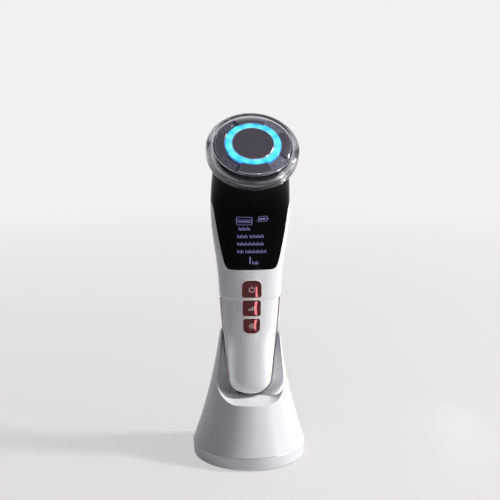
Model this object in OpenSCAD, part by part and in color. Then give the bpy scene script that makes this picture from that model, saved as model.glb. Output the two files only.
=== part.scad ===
// Facial cleansing handset in its charging stand.
// Millimetres. The stand's underside is on z = 0, its axis is the Z axis, and the object faces -Y.
// The handset has a frame of its own: z runs up its handle from the foot, and -y is its front.
// Its head has another: z comes out of the electrode face, and z = 0 is the top of the middle plate.
// Round the plate the face falls away like a very flat cone.

/* [Handle] */
// Straight length of the handle, from its foot to the bend of the neck
handle_len = 100; // [96:1:106]
// Width of the foot, before its corners are rounded
foot_w = 24.6; // [23.6:0.2:26]
// Width where the hand closes round it
hold_w = 33.4; // [32:0.2:34.4]
// Width beside the upper key
waist_w = 37.4; // [36.4:0.2:39]
// Width across the neck
neck_w = 45.2; // [43.6:0.2:47]
// Thickness at the foot
foot_t = 20; // [19:0.2:21]
// Thickness at the top of the straight part
top_t = 25; // [24:0.2:26]
// Radius of the foot's corners, seen from the front
foot_r = 9; // [8:0.5:9.5]
// Radius of the foot's corners, seen from the side
foot_side_r = 4.5; // [4:0.1:4.8]
// Wall of the two white shells and of the black cover
shell_wall = 1.8; // [1.5:0.1:2]
// Depth of the metal side band, front to back
band_depth = 5; // [4:0.2:5.4]
// How far the band stands out beside the shells
band_step = 0.9; // [0.6:0.1:1]
// Height on the handle at which the band ends
band_top = 57; // [52:1:59]
// Thickness of the band
band_wall = 1.7; // [1.5:0.1:2]
// Length of the black cover's tongue below the bend of the neck
tongue_len = 25.5; // [24:0.5:28]

/* [Head] */
// Diameter of the clear head
head_d = 52; // [51:0.5:54]
// Depth of the clear head
head_depth = 10.4; // [10.2:0.2:11.2]
// Height above the handle's top at which the head's axis crosses the handle's axis
elbow_rise = 26.8; // [26:0.2:28]
// Angle between the handle and the head's axis
face_tilt = 45; // [42:1:47]
// Distance from the handle's axis to the electrode face, along the head's axis
face_reach = 27.9; // [27.2:0.1:29.2]
// Diameter of the middle electrode plate
plate_d = 23.3; // [22:0.1:24.3]
// Width of the glowing ring round the plate
glow_w = 4.1; // [3.8:0.1:4.5]
// Width of each curved electrode
arc_w = 5.2; // [4.4:0.1:5.4]
// Angle that each curved electrode covers
arc_span = 53; // [45:1:60]
// Thickness of the curved electrodes
arc_t = 1.2; // [1:0.1:1.4]
// How far the curved electrodes' inner edges lie below the top of the middle plate
arc_drop = 0.2; // [0:0.1:0.4]
// Angle at which the face falls away outside the glowing ring
face_fall = 13.2; // [11:0.2:15]
// Wall of the clear head, behind its face
lens_wall = 1.8; // [1.5:0.1:2]
// Wall of the clear head at its widest
lens_side_wall = 3.1; // [2.8:0.1:3.3]
// Radius of the clear head's round rim
rim_r = 3; // [2.6:0.1:3.2]
// How far the clear head's side draws in towards the neck
lens_taper = 0.6; // [0.4:0.1:0.9]
// How far the collar stays inside the clear head's lower edge
collar_inset = 1.2; // [1:0.1:1.4]
// Diameter of the neck where it meets the head
neck_ring_d = 42; // [41:0.5:43]

/* [Keys] */
// Width of the upper key
key_top_w = 10.8; // [10:0.2:11.6]
// Width of the lower key
key_low_w = 9.3; // [8.6:0.1:10]
// Height of the upper key
key_top_h = 9.4; // [8.8:0.2:9.8]
// Height of the lower key
key_low_h = 8.2; // [7.8:0.2:8.8]
// Gap between two keys
key_gap = 1.9; // [1.6:0.1:2.2]
// Gap between the cover's tongue and the upper key
key_below_tongue = 6.4; // [6:0.1:7]
// Travel of a key
key_travel = 0.5; // [0.3:0.05:0.6]
// How far a key stands out of the shell
key_proud = 0.35; // [0.2:0.05:0.5]

/* [Inside the handset] */
// Thickness of the main circuit board
board_t = 1.2; // [1:0.1:1.6]
// Width of the main circuit board
board_w = 20; // [18:0.5:20.5]
// Width of the battery cell
cell_w = 18; // [16:0.5:18]
// Thickness of the battery cell
cell_t = 7; // [6:0.2:7.2]
// Length of the battery cell
cell_len = 46; // [40:1:48]
// Diameter of the vibration motor
motor_d = 10; // [8:0.5:10.5]
// Length of the vibration motor
motor_len = 12; // [10:0.5:13]

/* [Stand] */
// Diameter of the stand's base
base_d = 65.9; // [64:0.5:70]
// Height of the stand
stand_h = 79.5; // [78:0.5:82]
// Diameter that the flared side would have at the top
top_d = 33.8; // [33.2:0.1:35]
// How far the flared side curves in from a straight cone
flare_sag = 2; // [1.4:0.1:2.2]
// Height of the seam between the base and the stand's shell
seam_z = 8.4; // [8.3:0.1:9.5]
// Wall of the stand's shell
stand_wall = 2.2; // [1.8:0.1:2.4]
// Backward lean of the handset in the stand
lean = 4; // [2:0.5:5]
// Height of the niche's floor
niche_floor = 37.2; // [36:0.2:40]
// Width of the niche above its rounded corners
niche_w = 39.2; // [38.6:0.2:39.6]
// Radius of the niche's lower corners, seen from the front
niche_r = 10; // [8:0.5:11]
// Thickness of the rubber pad under the stand
pad_t = 1.2; // [1:0.1:1.6]

/* [Clearances] */
// Clearance between a key and its opening
key_clear = 0.15; // [0.1:0.05:0.2]
// Clearance between the handset and what it stands on
seat_clear = 0.3; // [0.2:0.05:0.4]
// Clearance round fixed pieces that slip into a hole
slip = 0.1; // [0.05:0.05:0.15]
// Running clearance round a shaft
run_clear = 0.05; // [0.03:0.01:0.08]

/* [Hidden] */
$fn = 64;
eps = 0.01;

// Places on the handset
tongue_at = handle_len - tongue_len;
hold_at = 45;
waist_at = 72;
neck_at = handle_len + 6;
side_edge_at = handle_len + 12.7;
back_edge_rise = 6;
face_y = -face_reach * sin(face_tilt);
face_z = handle_len + elbow_rise + face_reach * cos(face_tilt);
seal_t = 0.4;
collar_t = 1.4;
collar_back = head_depth + seal_t + collar_t;
ring_r = neck_ring_d / 2;
head_r = head_d / 2;

// Places in the stand
base_r = base_d / 2;
axis_y = -4;
seat_z = niche_floor + seat_clear + band_depth / 2 * sin(lean);
arch_z = 67.5;
arch_r = stand_h - arch_z;
pad_r = base_r - 4;
floor_bottom = pad_t / 2;
floor_top = pad_t + 1.6;

// Exponent of the handle's cross-section: 2 is an ellipse, more is squarer
section_n = 2.35;
foot_steps = [0, 0.06, 0.16, 0.32, 0.52, 0.76, 1];

function lerp(a, b, t) = a + (b - a) * t;
function clamp(v, low, high) = min(max(v, low), high);
function power(v, p) = sign(v) * pow(abs(v), p);

// Smooth curve through knots [place, value], with the slope at each knot taken from its neighbours
function slope(k, i) =
    let (a = max(i - 1, 0), b = min(i + 1, len(k) - 1))
    (k[b][1] - k[a][1]) / (k[b][0] - k[a][0]);
function smooth_at(k, s, i = 0) =
    i < len(k) - 2 && s > k[i + 1][0] ? smooth_at(k, s, i + 1) :
    let (h = k[i + 1][0] - k[i][0], t = clamp((s - k[i][0]) / h, 0, 1))
    (2 * t * t * t - 3 * t * t + 1) * k[i][1] + (t * t * t - 2 * t * t + t) * h * slope(k, i)
    + (3 * t * t - 2 * t * t * t) * k[i + 1][1] + (t * t * t - t * t) * h * slope(k, i + 1);

// Point on the head's outline in the handset's y-z plane: r up the face, t behind it
function head_pt(r, t) = [face_y + r * cos(face_tilt) + t * sin(face_tilt),
                          face_z + r * sin(face_tilt) - t * cos(face_tilt)];
function bezier(a, b, c, d, t) =
    let (u = 1 - t)
    u * u * u * a + 3 * u * u * t * b + 3 * u * t * t * c + t * t * t * d;

neck_len = 1.05 * norm(head_pt(0, collar_back) - [0, handle_len]);
width_knots = [[0, foot_w / 2], [hold_at, hold_w / 2], [waist_at, waist_w / 2], [neck_at, neck_w / 2],
               [handle_len + neck_len, ring_r]];
function half_w(s) = smooth_at(width_knots, s);
function half_t(s) = lerp(foot_t / 2, top_t / 2, min(s / handle_len, 1));

// Share of the foot's corner still missing at height s, for a surface w inside the outer one.
// Beside the band the surface is a further e inside.
function foot_cut(s, w, e) =
    let (q = clamp((s - w - e) / (foot_r - w - e), 0, 1))
    1 - sqrt(1 - pow(1 - q, 2));
function side_w(s, w, e) = half_w(s) - w - e - (foot_r - w - e) * foot_cut(s, w, e);
function side_t(s, w, e) = half_t(s) - w - (foot_side_r - w) * foot_cut(s, w, e);

// Front and back points of the section at s: straight up the handle, then curved into the head.
// side is -1 for the front and 1 for the back; reach and grip are the lengths of the curve's two handles.
function edge_pt(s, w, e, side, reach, grip) =
    let (y = side * side_t(s, w, e), u = (s - handle_len) / neck_len)
    u <= 0 ? [y, s] :
    let (p = head_pt(side * (ring_r - w), collar_back))
    bezier([y, handle_len], [y, handle_len + reach], p + grip * [sin(face_tilt), -cos(face_tilt)], p, u);
function front_pt(s, w, e) = edge_pt(s, w, e, -1, 9, 9);
function back_pt(s, w, e) = edge_pt(s, w, e, 1, 22, 16);

// Point of the handset's surface at height s and angle t round it.
// 0 is +x, 90 is the back and 270 is the front.
function body_pt(s, t, w, e = 0) =
    let (f = front_pt(s, w, e), b = back_pt(s, w, e), c = (f + b) / 2, h = (b - f) / 2)
    let (n = lerp(section_n, 2, clamp((s - handle_len) / neck_len, 0, 1)), k = power(sin(t), 2 / n))
    [side_w(s, w, e) * power(cos(t), 2 / n), c[0] + h[0] * k, c[1] + h[1] * k];

// Lower edge of the black cover at angle t: a tongue in front, a level edge at the sides, a low rise behind.
// The tongue's sides climb steeply where the angle from the side is side_climb.
side_climb = 31.5;
climb_width = 4;
function cover_edge(t) =
    sin(t) < 0 ? lerp(tongue_at, side_edge_at, 1 / (1 + exp((acos(abs(cos(t))) - side_climb) / climb_width)))
               : side_edge_at + back_edge_rise * pow(sin(t), 3);

// Angles of the columns round each half of the handset: close together where the tongue's sides climb
quarter = [0, 8, 15, 20, 24, 27, 29.5, 32, 35, 38, 42, 48, 57, 68, 79];
front_cols = concat(quarter, [90], [for (i = [len(quarter) - 1:-1:0]) 180 - quarter[i]]);
back_cols = [for (i = [0:24]) 7.5 * i];

// The shells are drawn in beside the band, and end band_depth / 2 from the middle there
function inset_at(s) = band_step * clamp(band_top + 1.2 - s, 0, 1);
function edge_deg(s, w) =
    s > band_top + 0.25 ? 0 : asin(pow(band_depth / 2 / side_t(s, w, band_step), section_n / 2));

// Rows of heights for a shell column that ends at the cover's edge
upper_from = band_top + 8;
function shell_rows(t, w) = concat(
    [for (f = foot_steps) lerp(band_step + w, foot_r, f)],
    [for (i = [1:5]) lerp(foot_r, band_top - 1.5, i / 5)],
    [band_top + 0.2, band_top + 0.3, band_top + 1.2, band_top + 4, upper_from],
    [for (i = [1:6]) lerp(upper_from, cover_edge(t), i / 6)]);
row_count = len(shell_rows(0, 0));

// Half shell on one side of the middle: side is -1 for the front and 1 for the back
function shell_grid(side, w) =
    let (cols = side > 0 ? back_cols : front_cols, first = side > 0 ? 0 : 180)
    let (middle = shell_rows(first + 90, w))
    [for (i = [0:row_count - 1]) [for (c = cols)
        let (m = edge_deg(middle[i], w), t = first + lerp(m, 180 - m, c / 180), s = shell_rows(t, w)[i])
        body_pt(s, t, w, inset_at(s))]];

// Two triangles of the four points a, b, c, d
function quad(a, b, c, d) = [[a, b, c], [a, c, d]];

// Closed solid between an outer and an inner grid of points. ring joins the last column to the first.
// foot closes the lowest row with two flat caps; without it the two grids are joined there.
module skin(outer, inner, ring = false, foot = false) {
    m = len(outer);
    k = len(outer[0]);
    q = m * k;
    last = ring ? k - 1 : k - 2;
    function at(i, j) = i * k + j % k;
    outside = [for (i = [0:m - 2]) for (j = [0:last])
        each quad(at(i, j), at(i + 1, j), at(i + 1, j + 1), at(i, j + 1))];
    inside = [for (i = [0:m - 2]) for (j = [0:last])
        each quad(q + at(i, j), q + at(i, j + 1), q + at(i + 1, j + 1), q + at(i + 1, j))];
    top = [for (j = [0:last]) let (a = at(m - 1, j), b = at(m - 1, j + 1))
        each quad(b, a, q + a, q + b)];
    bottom = foot
        ? [[for (j = [0:k - 1]) j], [for (j = [k - 1:-1:0]) q + j], [0, k - 1, q + k - 1, q]]
        : [for (j = [0:last]) let (a = at(0, j), b = at(0, j + 1)) each quad(b, q + b, q + a, a)];
    ends = ring ? [] : [for (i = [0:m - 2])
        let (a = at(i, 0), c = at(i + 1, 0), b = at(i, k - 1), d = at(i + 1, k - 1))
        each concat(quad(c, a, q + a, q + c), quad(d, q + d, q + b, b))];
    polyhedron([for (r = concat(outer, inner)) each r], concat(outside, inside, top, bottom, ends));
}

// Solid through a stack of like rings of points
module loft(rings) {
    m = len(rings);
    k = len(rings[0]);
    side = [for (i = [0:m - 2]) for (j = [0:k - 1]) let (a = i * k + j, b = i * k + (j + 1) % k)
        each quad(a, a + k, b + k, b)];
    polyhedron([for (r = rings) each r],
        concat([[for (j = [0:k - 1]) j]], side, [[for (j = [k - 1:-1:0]) (m - 1) * k + j]]));
}

// Frames
module in_stand() { translate([0, axis_y, seat_z]) rotate([-lean, 0, 0]) children(); }
module at_head() { translate([0, face_y, face_z]) rotate([face_tilt, 0, 0]) children(); }
module on_head() { in_stand() at_head() children(); }
// Extrudes a front view, drawn in x and z, from depth y0 back to y1
module from_front(y0, y1) { translate([0, y1, 0]) rotate([90, 0, 0]) linear_extrude(y1 - y0) children(); }
module tube(r_out, r_in, z0, z1) {
    translate([0, 0, z0]) difference() {
        cylinder(r = r_out, h = z1 - z0);
        translate([0, 0, -1]) cylinder(r = r_in, h = z1 - z0 + 2);
    }
}
module rod(r, z0, z1) { translate([0, 0, z0]) cylinder(r = r, h = z1 - z0); }
// Rectangle with one radius for its upper corners and one for its lower corners
module soft_rect(w, h, r_up, r_low) {
    translate([-w / 2, r_low - h / 2]) square([w, h - r_up - r_low]);
    translate([r_up - w / 2, h / 2 - r_up]) square([w - 2 * r_up, r_up]);
    translate([r_low - w / 2, -h / 2]) square([w - 2 * r_low, r_low]);
    for (m = [-1, 1]) {
        translate([m * (w / 2 - r_up), h / 2 - r_up]) circle(r = r_up);
        translate([m * (w / 2 - r_low), r_low - h / 2]) circle(r = r_low);
    }
}

// Stand

// Radius of the stand's flared side at height z
function stand_r(z) =
    let (f = (z - seam_z) / (stand_h - 4 - seam_z))
    lerp(base_r, top_d / 2 + 0.45, f) - 4 * flare_sag * f * (1 - f);

// Body of the stand, drawn in by inset: the flared side, cut at the top to an arch
module stand_form(inset, low) {
    high = stand_h - inset;
    arch_half = stand_r(arch_z) - inset;
    corner = arch_r - inset;
    intersection() {
        rotate_extrude($fn = 96) polygon(concat([[0, low]],
            [for (i = [0:14]) let (z = lerp(low, high, i / 14)) [stand_r(z) - inset, z]], [[0, high]]));
        from_front(-base_r, base_r) {
            translate([-base_r, 0]) square([base_d, arch_z]);
            translate([corner - arch_half, 0]) square([2 * (arch_half - corner), high]);
            for (m = [-1, 1]) translate([m * (arch_half - corner), arch_z]) circle(r = corner, $fn = 96);
        }
    }
}

// Plan of the niche at one height: a rounded back round the handle, open to the front
niche_back = foot_t / 2 + 2.2;
niche_narrowing = 0.105;
// The niche's floor falls towards the front, so that water runs off
niche_fall = 0.035;
function niche_ring(z, half, back) =
    let (y = axis_y + (z - seat_z) * tan(lean), front = -2 * base_r, z_front = z + niche_fall * (front - y))
    concat([for (t = [0:15:180]) [half * power(cos(t), 2 / 2.4), y + back * power(sin(t), 2 / 2.4), z]],
    [[-half, front, z_front], [half, front, z_front]]);
// Space of the niche, grown by g: rounded lower corners, then sides that draw together upwards
module niche(g = 0) {
    low = niche_floor - g;
    half = niche_w / 2 + g;
    back = niche_back + g;
    corner = niche_r + g;
    back_corner = 5 + g;
    top = stand_h + 3;
    loft(concat(
        [for (a = [0:15:90]) let (k = 1 - sin(a))
            niche_ring(low + corner * (1 - cos(a)), half - corner * k, back - back_corner * k)],
        [for (i = [1:4]) let (z = lerp(low + corner, top, i / 4))
            niche_ring(z, half - niche_narrowing * (z - low - corner), back)]));
}

// Screw posts of the stand, as [angle, radius of the circle]
post_ring = base_r - 9;
post_r = 3.4;
post_foot = 6;
module at_posts() { for (a = [30, 150, 270]) rotate(a) translate([post_ring, 0, 0]) children(); }

// Pin block: a cross-section that drops through the floor, with a flange under it
contact_x = 3;
contact_y = 4;
block_w = 13;
block_d = 6.6;
niche_floor_t = 2;
block_h = 7;

module stand_shell() {
    color("white") difference() {
        union() {
            difference() {
                stand_form(0, seam_z);
                difference() {
                    stand_form(stand_wall, seam_z - 1);
                    niche(niche_floor_t);
                }
                niche();
            }
            intersection() {
                at_posts() rod(post_r, post_foot, niche_floor);
                stand_form(1, post_foot);
            }
        }
        at_posts() rod(1.25, post_foot - 1, post_foot + 9);
        translate([-block_w / 2 - slip / 2, -block_d / 2 - slip / 2, niche_floor - 3])
            cube([block_w + slip, block_d + slip, 4]);
    }
}

base_ring_wall = 2.6;
spigot_r = stand_r(seam_z + 4) - stand_wall - 0.3;
module stand_base() {
    r = base_r - base_ring_wall;
    edge = 1.2;
    color("white") difference() {
        union() {
            rotate_extrude($fn = 96) polygon(concat(
                [[0, floor_bottom]],
                [for (a = [-90:15:0])
                    [base_r - 0.3 - edge * (1 - cos(a)), floor_bottom + edge * (1 + sin(a))]],
                [[base_r - 0.1, seam_z - 2.5], [base_r - 0.1, seam_z - 0.1]],
                [[r, seam_z - 0.1], [r, floor_top], [0, floor_top]]));
            difference() {
                tube(spigot_r, spigot_r - 1.4, floor_top, seam_z + 4);
                translate([-board_half - 1.5, 0, 0]) cube([2 * board_half + 3, base_r, 20]);
            }
            at_posts() rod(post_r, floor_top, post_foot);
            for (m = [-1, 1]) translate([m * stake_x, stake_y, 0]) rod(1.2, floor_top, floor_top + 2.2);
        }
        rod(pad_r + 0.2, floor_bottom - 1, pad_t);
        at_posts() rod(1.6, 0, 20);
        at_posts() rod(2.8, 0, pad_t + 1.5);
        translate([0, 0, usb_z]) from_front(base_r - 8, base_r) usb_outline(0.3);
    }
}

module rubber_pad() { color("dimgray") rod(pad_r, 0, pad_t - eps); }

module pin_block() {
    color("black") difference() {
        union() {
            translate([-block_w / 2, -block_d / 2, niche_floor - block_h]) cube([block_w, block_d, block_h]);
            translate([-block_w / 2 - 1.5, -block_d / 2 - 1.5, niche_floor - niche_floor_t - 2])
                cube([block_w + 3, block_d + 3, 2 - eps]);
        }
        in_stand() for (m = [-1, 1]) translate([m * contact_x, contact_y, 0]) {
            rod(pin_r + run_clear, -4, 4);
            rod(pin_r + 0.5, -6, -2.6);
        }
    }
}

pin_r = 0.8;
pin_stroke = 0.8;
module charge_pins() {
    color("gold") in_stand() for (m = [-1, 1]) translate([m * contact_x, contact_y, 0]) {
        rod(pin_r, -4.6, band_step - seat_clear);
        rod(pin_r + 0.4, -4.6, -2.8);
    }
}

board_half = 9;
stand_board_t = 1;
stake_x = 6.5;
stake_y = 3;
module stand_board() {
    back = sqrt(pow(base_r - base_ring_wall, 2) - pow(board_half, 2)) - 0.4;
    color("seagreen") difference() {
        translate([-board_half, -7, floor_top]) cube([2 * board_half, back + 7, stand_board_t]);
        for (m = [-1, 1]) translate([m * stake_x, stake_y, 0]) rod(1.2 + slip, 0, 10);
    }
}

usb_w = 8.94;
usb_h = 3.26;
usb_len = 7.3;
usb_z = floor_top + stand_board_t + usb_h / 2;
module usb_outline(grow) {
    soft_rect(usb_w + 2 * grow, usb_h + 2 * grow, 1.6 + grow, 1.6 + grow);
}
module usb_socket() {
    mouth = base_r - 0.9;
    color("silver") {
        difference() {
            translate([0, 0, usb_z]) from_front(mouth - usb_len, mouth) usb_outline(0);
            translate([0, 0, usb_z]) from_front(mouth - usb_len + 1, mouth + 1) usb_outline(-0.3);
        }
        translate([-3.3, mouth - usb_len + 0.5, usb_z - 0.35]) cube([6.6, usb_len - 1.5, 0.7]);
    }
}

module stand_leads() {
    color("red") for (m = [-1, 1]) translate([m * contact_x, 0, 0])
        rod(0.6, floor_top + stand_board_t, niche_floor - block_h);
}

module base_screws() {
    color("silver") at_posts() {
        rod(2.6, pad_t + 0.05, pad_t + 1.5);
        rod(1.15, pad_t + 1.5, post_foot + 8);
    }
}

// Handset

// The three keys from the top: i is 0, 1 or 2
function key_w(i) = lerp(key_top_w, key_low_w, i / 2);
function key_h(i) = lerp(key_top_h, key_low_h, i / 2);
function key_top(i) = i == 0 ? tongue_at - key_below_tongue : key_top(i - 1) - key_h(i - 1) - key_gap;
function key_mid(i) = key_top(i) - key_h(i) / 2;
big_r = 3.4;
small_r = 1.3;
module key_outline(i, grow = 0) {
    translate([0, key_mid(i)]) soft_rect(key_w(i) + 2 * grow, key_h(i) + 2 * grow,
        (i == 0 ? big_r : small_r) + grow, (i == 2 ? big_r : small_r) + grow);
}

// Main board and its screws
board_front = -5.6;
board_back = board_front + board_t;
board_low = key_top(2) - key_low_h - 9;
board_high = handle_len - 1;
screw_x = board_w / 2 - 2;
screw_s = [key_top(2) - key_low_h - 5.2, tongue_at - 2.6];
boss_r = 1.9;
// Places the board's four screws, with z forwards from its front face
module at_board_screws() {
    for (s = screw_s, m = [-1, 1]) translate([m * screw_x, board_front, s]) rotate([90, 0, 0]) children();
}
// Depth of the outer surface in front of a point x, s
function surface_at(x, s) =
    half_t(s) * pow(1 - pow(abs(x) / (half_w(s) - inset_at(s)), section_n), 1 / section_n);

module front_shell() {
    color("white") in_stand() difference() {
        union() {
            skin(shell_grid(-1, 0), shell_grid(-1, shell_wall), foot = true);
            for (s = screw_s, m = [-1, 1]) translate([m * screw_x, board_front, s]) rotate([90, 0, 0])
                rod(boss_r, 0, surface_at(screw_x, s) + board_front - shell_wall / 2);
        }
        for (i = [0:2]) from_front(-half_t(key_mid(i)) - 3, board_front - 1.5) key_outline(i, key_clear);
        at_board_screws() rod(0.9, -1, 2.2);
    }
}

module rear_shell() {
    rib_x = 7;
    rib_y = cell_back + slip;
    color("white") in_stand() difference() {
        union() {
            skin(shell_grid(1, 0), shell_grid(1, shell_wall), foot = true);
            for (s = [cell_low + 5, cell_low + cell_len - 8])
                translate([-rib_x, rib_y, s]) cube([2 * rib_x, surface_at(rib_x, s) - rib_y - 0.3, 1.4]);
        }
        for (m = [-1, 1]) translate([m * contact_x, contact_y, 0]) rod(contact_r + run_clear, -1, 5);
    }
}

// The band follows the handle's outline seen from the front
function band_side(w) = concat([for (f = foot_steps) let (s = lerp(w, foot_r, f)) [side_w(s, w, 0), s]],
    [for (i = [1:8]) let (s = lerp(foot_r, band_top, i / 8)) [side_w(s, w, 0), s]]);
function turned(p, side) = [for (i = [len(p) - 1:-1:0]) [side * p[i][0], p[i][1]]];
function across(p) = [for (q = p) [-q[0], q[1]]];
module side_band() {
    outer = band_side(0);
    inner = band_side(band_wall);
    color("silver") in_stand() from_front(-band_depth / 2, band_depth / 2)
        polygon(concat(turned(outer, -1), outer, turned(inner, 1), across(inner)));
}

// Columns round the whole neck, with rows from the tongue's edge up to the head
module neck_cover() {
    fractions = [0, 0.1, 0.2, 0.32, 0.45, 0.58, 0.7, 0.8, 0.9, 1];
    round_cols = concat([for (i = [0:23]) back_cols[i]],
        [for (i = [0:len(front_cols) - 2]) 180 + front_cols[i]]);
    function grid(w) = [for (f = fractions) [for (t = round_cols)
        body_pt(lerp(cover_edge(t), handle_len + neck_len, f), t, w)]];
    color("black") in_stand() skin(grid(0), grid(shell_wall), ring = true);
}

// Head, from the neck outwards
collar_hole_r = 15;
head_screw_ring = 16.8;
ribbon_w = 6;
ribbon_y = -10;
lens_in_r = head_r - lens_side_wall;
collar_r = head_r - lens_taper - collar_inset;
module at_head_screws() { for (a = [90, 210, 330]) rotate(a) translate([head_screw_ring, 0, 0]) children(); }

module neck_collar() {
    color("black") on_head() difference() {
        translate([0, 0, -collar_back]) cylinder(r1 = ring_r, r2 = collar_r, h = collar_t);
        rod(collar_hole_r, -20, 0);
        at_head_screws() rod(1.1, -20, 0);
    }
}

module head_seal() {
    color("gray") on_head()
        tube(collar_r - 0.1, lens_in_r, eps - head_depth - seal_t, -head_depth - eps);
}

// The clear head: a face that falls away round the glowing ring, a round rim that stands up outside it, and a
// side that draws in to the neck. Its inside follows at the wall's thickness.
lens_hole_r = plate_d / 2 + glow_w + 0.05;
lens_face = -arc_t - arc_drop;
function face_at(r) = lens_face - (r - lens_hole_r) * tan(face_fall);
lens_wall_z = lens_wall / cos(face_fall);
rim_from = 105;
face_out_r = head_r - rim_r * (1 - cos(rim_from));
rim_mid_z = face_at(face_out_r) - 1.7;
module head_shell() {
    inner = 2;
    inner_r = lens_in_r - inner;
    inner_z = face_at(inner_r) - lens_wall_z - inner / cos(face_fall);
    side_top = rim_mid_z - 1.6;
    color("lightblue", 0.4) on_head() difference() {
        rotate_extrude($fn = 96) polygon(concat(
            [[lens_hole_r, lens_face], [face_out_r, face_at(face_out_r)]],
            [for (a = [rim_from:-15:0]) [head_r - rim_r * (1 - cos(a)), rim_mid_z + rim_r * sin(a)]],
            [for (a = [0:15:90])
                [head_r - lens_taper * (1 - cos(a)), side_top - (head_depth + side_top) * sin(a)]],
            [[lens_in_r, -head_depth]],
            [for (i = [0:6]) let (a = (90 - face_fall) * i / 6)
                [inner_r + inner * cos(a), inner_z + inner * sin(a)]],
            [[lens_hole_r, lens_face - lens_wall_z]]));
        for (a = [0:90:270], b = [-12, 12]) rotate(a + b) translate([arc_mid_r, 0, 0]) rod(0.9, -6.5, 0);
    }
}

// The head's board lies on a rim that stands on the base's floor
board_seat = -head_depth + 3.3;
head_board_t = 1.2;
head_board_r = lens_in_r - 0.4;
base_floor = 1.4;
rim_wall = 1.8;
module head_base() {
    color("black") on_head() difference() {
        union() {
            rod(lens_in_r - 0.15, -head_depth - seal_t, -head_depth + base_floor);
            tube(head_board_r, head_board_r - rim_wall, -head_depth + base_floor - eps, board_seat);
            at_head_screws() rod(2.2, -head_depth, board_seat - 1);
        }
        at_head_screws() rod(1.05, -20, board_seat - 1.6);
        translate([-ribbon_w / 2 - 0.5, ribbon_y - 1, -20]) cube([ribbon_w + 1, 2, 20]);
    }
}

module head_board() { color("seagreen") on_head() rod(head_board_r, board_seat, board_seat + head_board_t); }

// Small metal dots on the clear face, two in each gap between the curved electrodes
dot_at = lens_hole_r + 2.7;
dot_r = 0.45;
module rim_dots() {
    color("silver") on_head() for (a = [45:90:315], b = [-8, 8]) rotate(a + b)
        translate([dot_at, 0, 0]) rod(dot_r, face_at(dot_at - dot_r), face_at(dot_at) + 0.5);
}

led_count = 12;
module head_leds() {
    ring = (plate_d + glow_w) / 2;
    color("cyan") on_head() for (i = [0:led_count - 1]) rotate(i * 360 / led_count)
        translate([ring - 1.2, -1.2, board_seat + head_board_t]) cube([2.4, 2.4, 1.1]);
}

// Diffuser: the glowing ring, with a seat for the middle plate and a flange behind the clear head
plate_t = 1;
bevel = 0.5;
module glow_ring() {
    glow_top = -0.5;
    flange_r = arc_mid_r - 1;
    flange_top = face_at(flange_r) - lens_wall_z - eps;
    color("cyan") on_head() difference() {
        union() {
            rod(plate_d / 2 + glow_w, flange_top - 0.4, glow_top);
            rod(flange_r, flange_top - 0.9, flange_top);
        }
        rod(plate_d / 2 + slip, -plate_t, 1);
        rod(1.7, -10, 1);
    }
}

module middle_plate() {
    color("silver") on_head() {
        rod(plate_d / 2, -plate_t, -bevel);
        translate([0, 0, -bevel]) cylinder(r1 = plate_d / 2, r2 = plate_d / 2 - bevel, h = bevel);
        rod(1.6, board_seat + head_board_t, -plate_t);
    }
}

arc_in_r = plate_d / 2 + glow_w + 0.2;
arc_mid_r = arc_in_r + arc_w / 2;
arc_out_r = arc_in_r + arc_w;
// Curved electrode at angle a round the face, with the two pins that pass through the clear head
module arc_plate(a) {
    color("silver") on_head() rotate(a) {
        rotate(-arc_span / 2) rotate_extrude(angle = arc_span, $fn = 96) polygon([
            [arc_in_r, face_at(arc_in_r) + slip], [arc_out_r, face_at(arc_out_r) + slip],
            [arc_out_r, face_at(arc_out_r) + arc_t], [arc_in_r, face_at(arc_in_r) + arc_t]]);
        for (b = [-12, 12]) rotate(b) translate([arc_mid_r, 0, 0])
            rod(0.8, board_seat + head_board_t, face_at(arc_mid_r) + arc_t / 2);
    }
}
module arc_plate_right() { arc_plate(0); }
module arc_plate_top() { arc_plate(90); }
module arc_plate_left() { arc_plate(180); }
module arc_plate_bottom() { arc_plate(270); }

module head_screws() {
    color("silver") on_head() at_head_screws() {
        rod(1.7, -collar_back - 1.3, -collar_back);
        rod(1, -collar_back, board_seat - 1.8);
    }
}

// Vibration motor, held under the head's base with its shaft along x
motor_z = -head_depth - seal_t - motor_d / 2 - 2;
motor_x0 = -motor_len / 2 - 2;
shaft_r = 0.75;
module on_motor_axis() { on_head() translate([motor_x0, 0, motor_z]) rotate([0, 90, 0]) children(); }
module motor_bracket() {
    wall = 1.8;
    top = -head_depth - seal_t;
    color("black") difference() {
        on_head() translate([motor_x0 + 1, -motor_d / 2 - wall, motor_z - 1])
            cube([motor_len - 2, motor_d + 2 * wall, top - motor_z + 1]);
        on_motor_axis() rod(motor_d / 2 + slip, -1, motor_len + 1);
    }
}
module vibration_motor() {
    color("silver") on_motor_axis() difference() {
        rod(motor_d / 2, 0, motor_len);
        rod(shaft_r + run_clear, 1.5, motor_len + 1);
    }
}
module motor_shaft() { color("gray") on_motor_axis() rod(shaft_r, 2, motor_len + 5); }
// Off-centre weight on the end of the shaft: a hub and half a disc, which hangs straight down at rest
module motor_weight() {
    reach = motor_d / 2 - 0.6;
    color("darkgray") on_motor_axis() translate([0, 0, motor_len + 0.6]) difference() {
        union() {
            rod(1.8, 0, 4);
            intersection() {
                rod(reach, 0, 4);
                rotate(lean - face_tilt) translate([0, -motor_d, 0]) cube([motor_d, 2 * motor_d, 4]);
            }
        }
        rod(shaft_r, -1, 5);
    }
}

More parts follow.
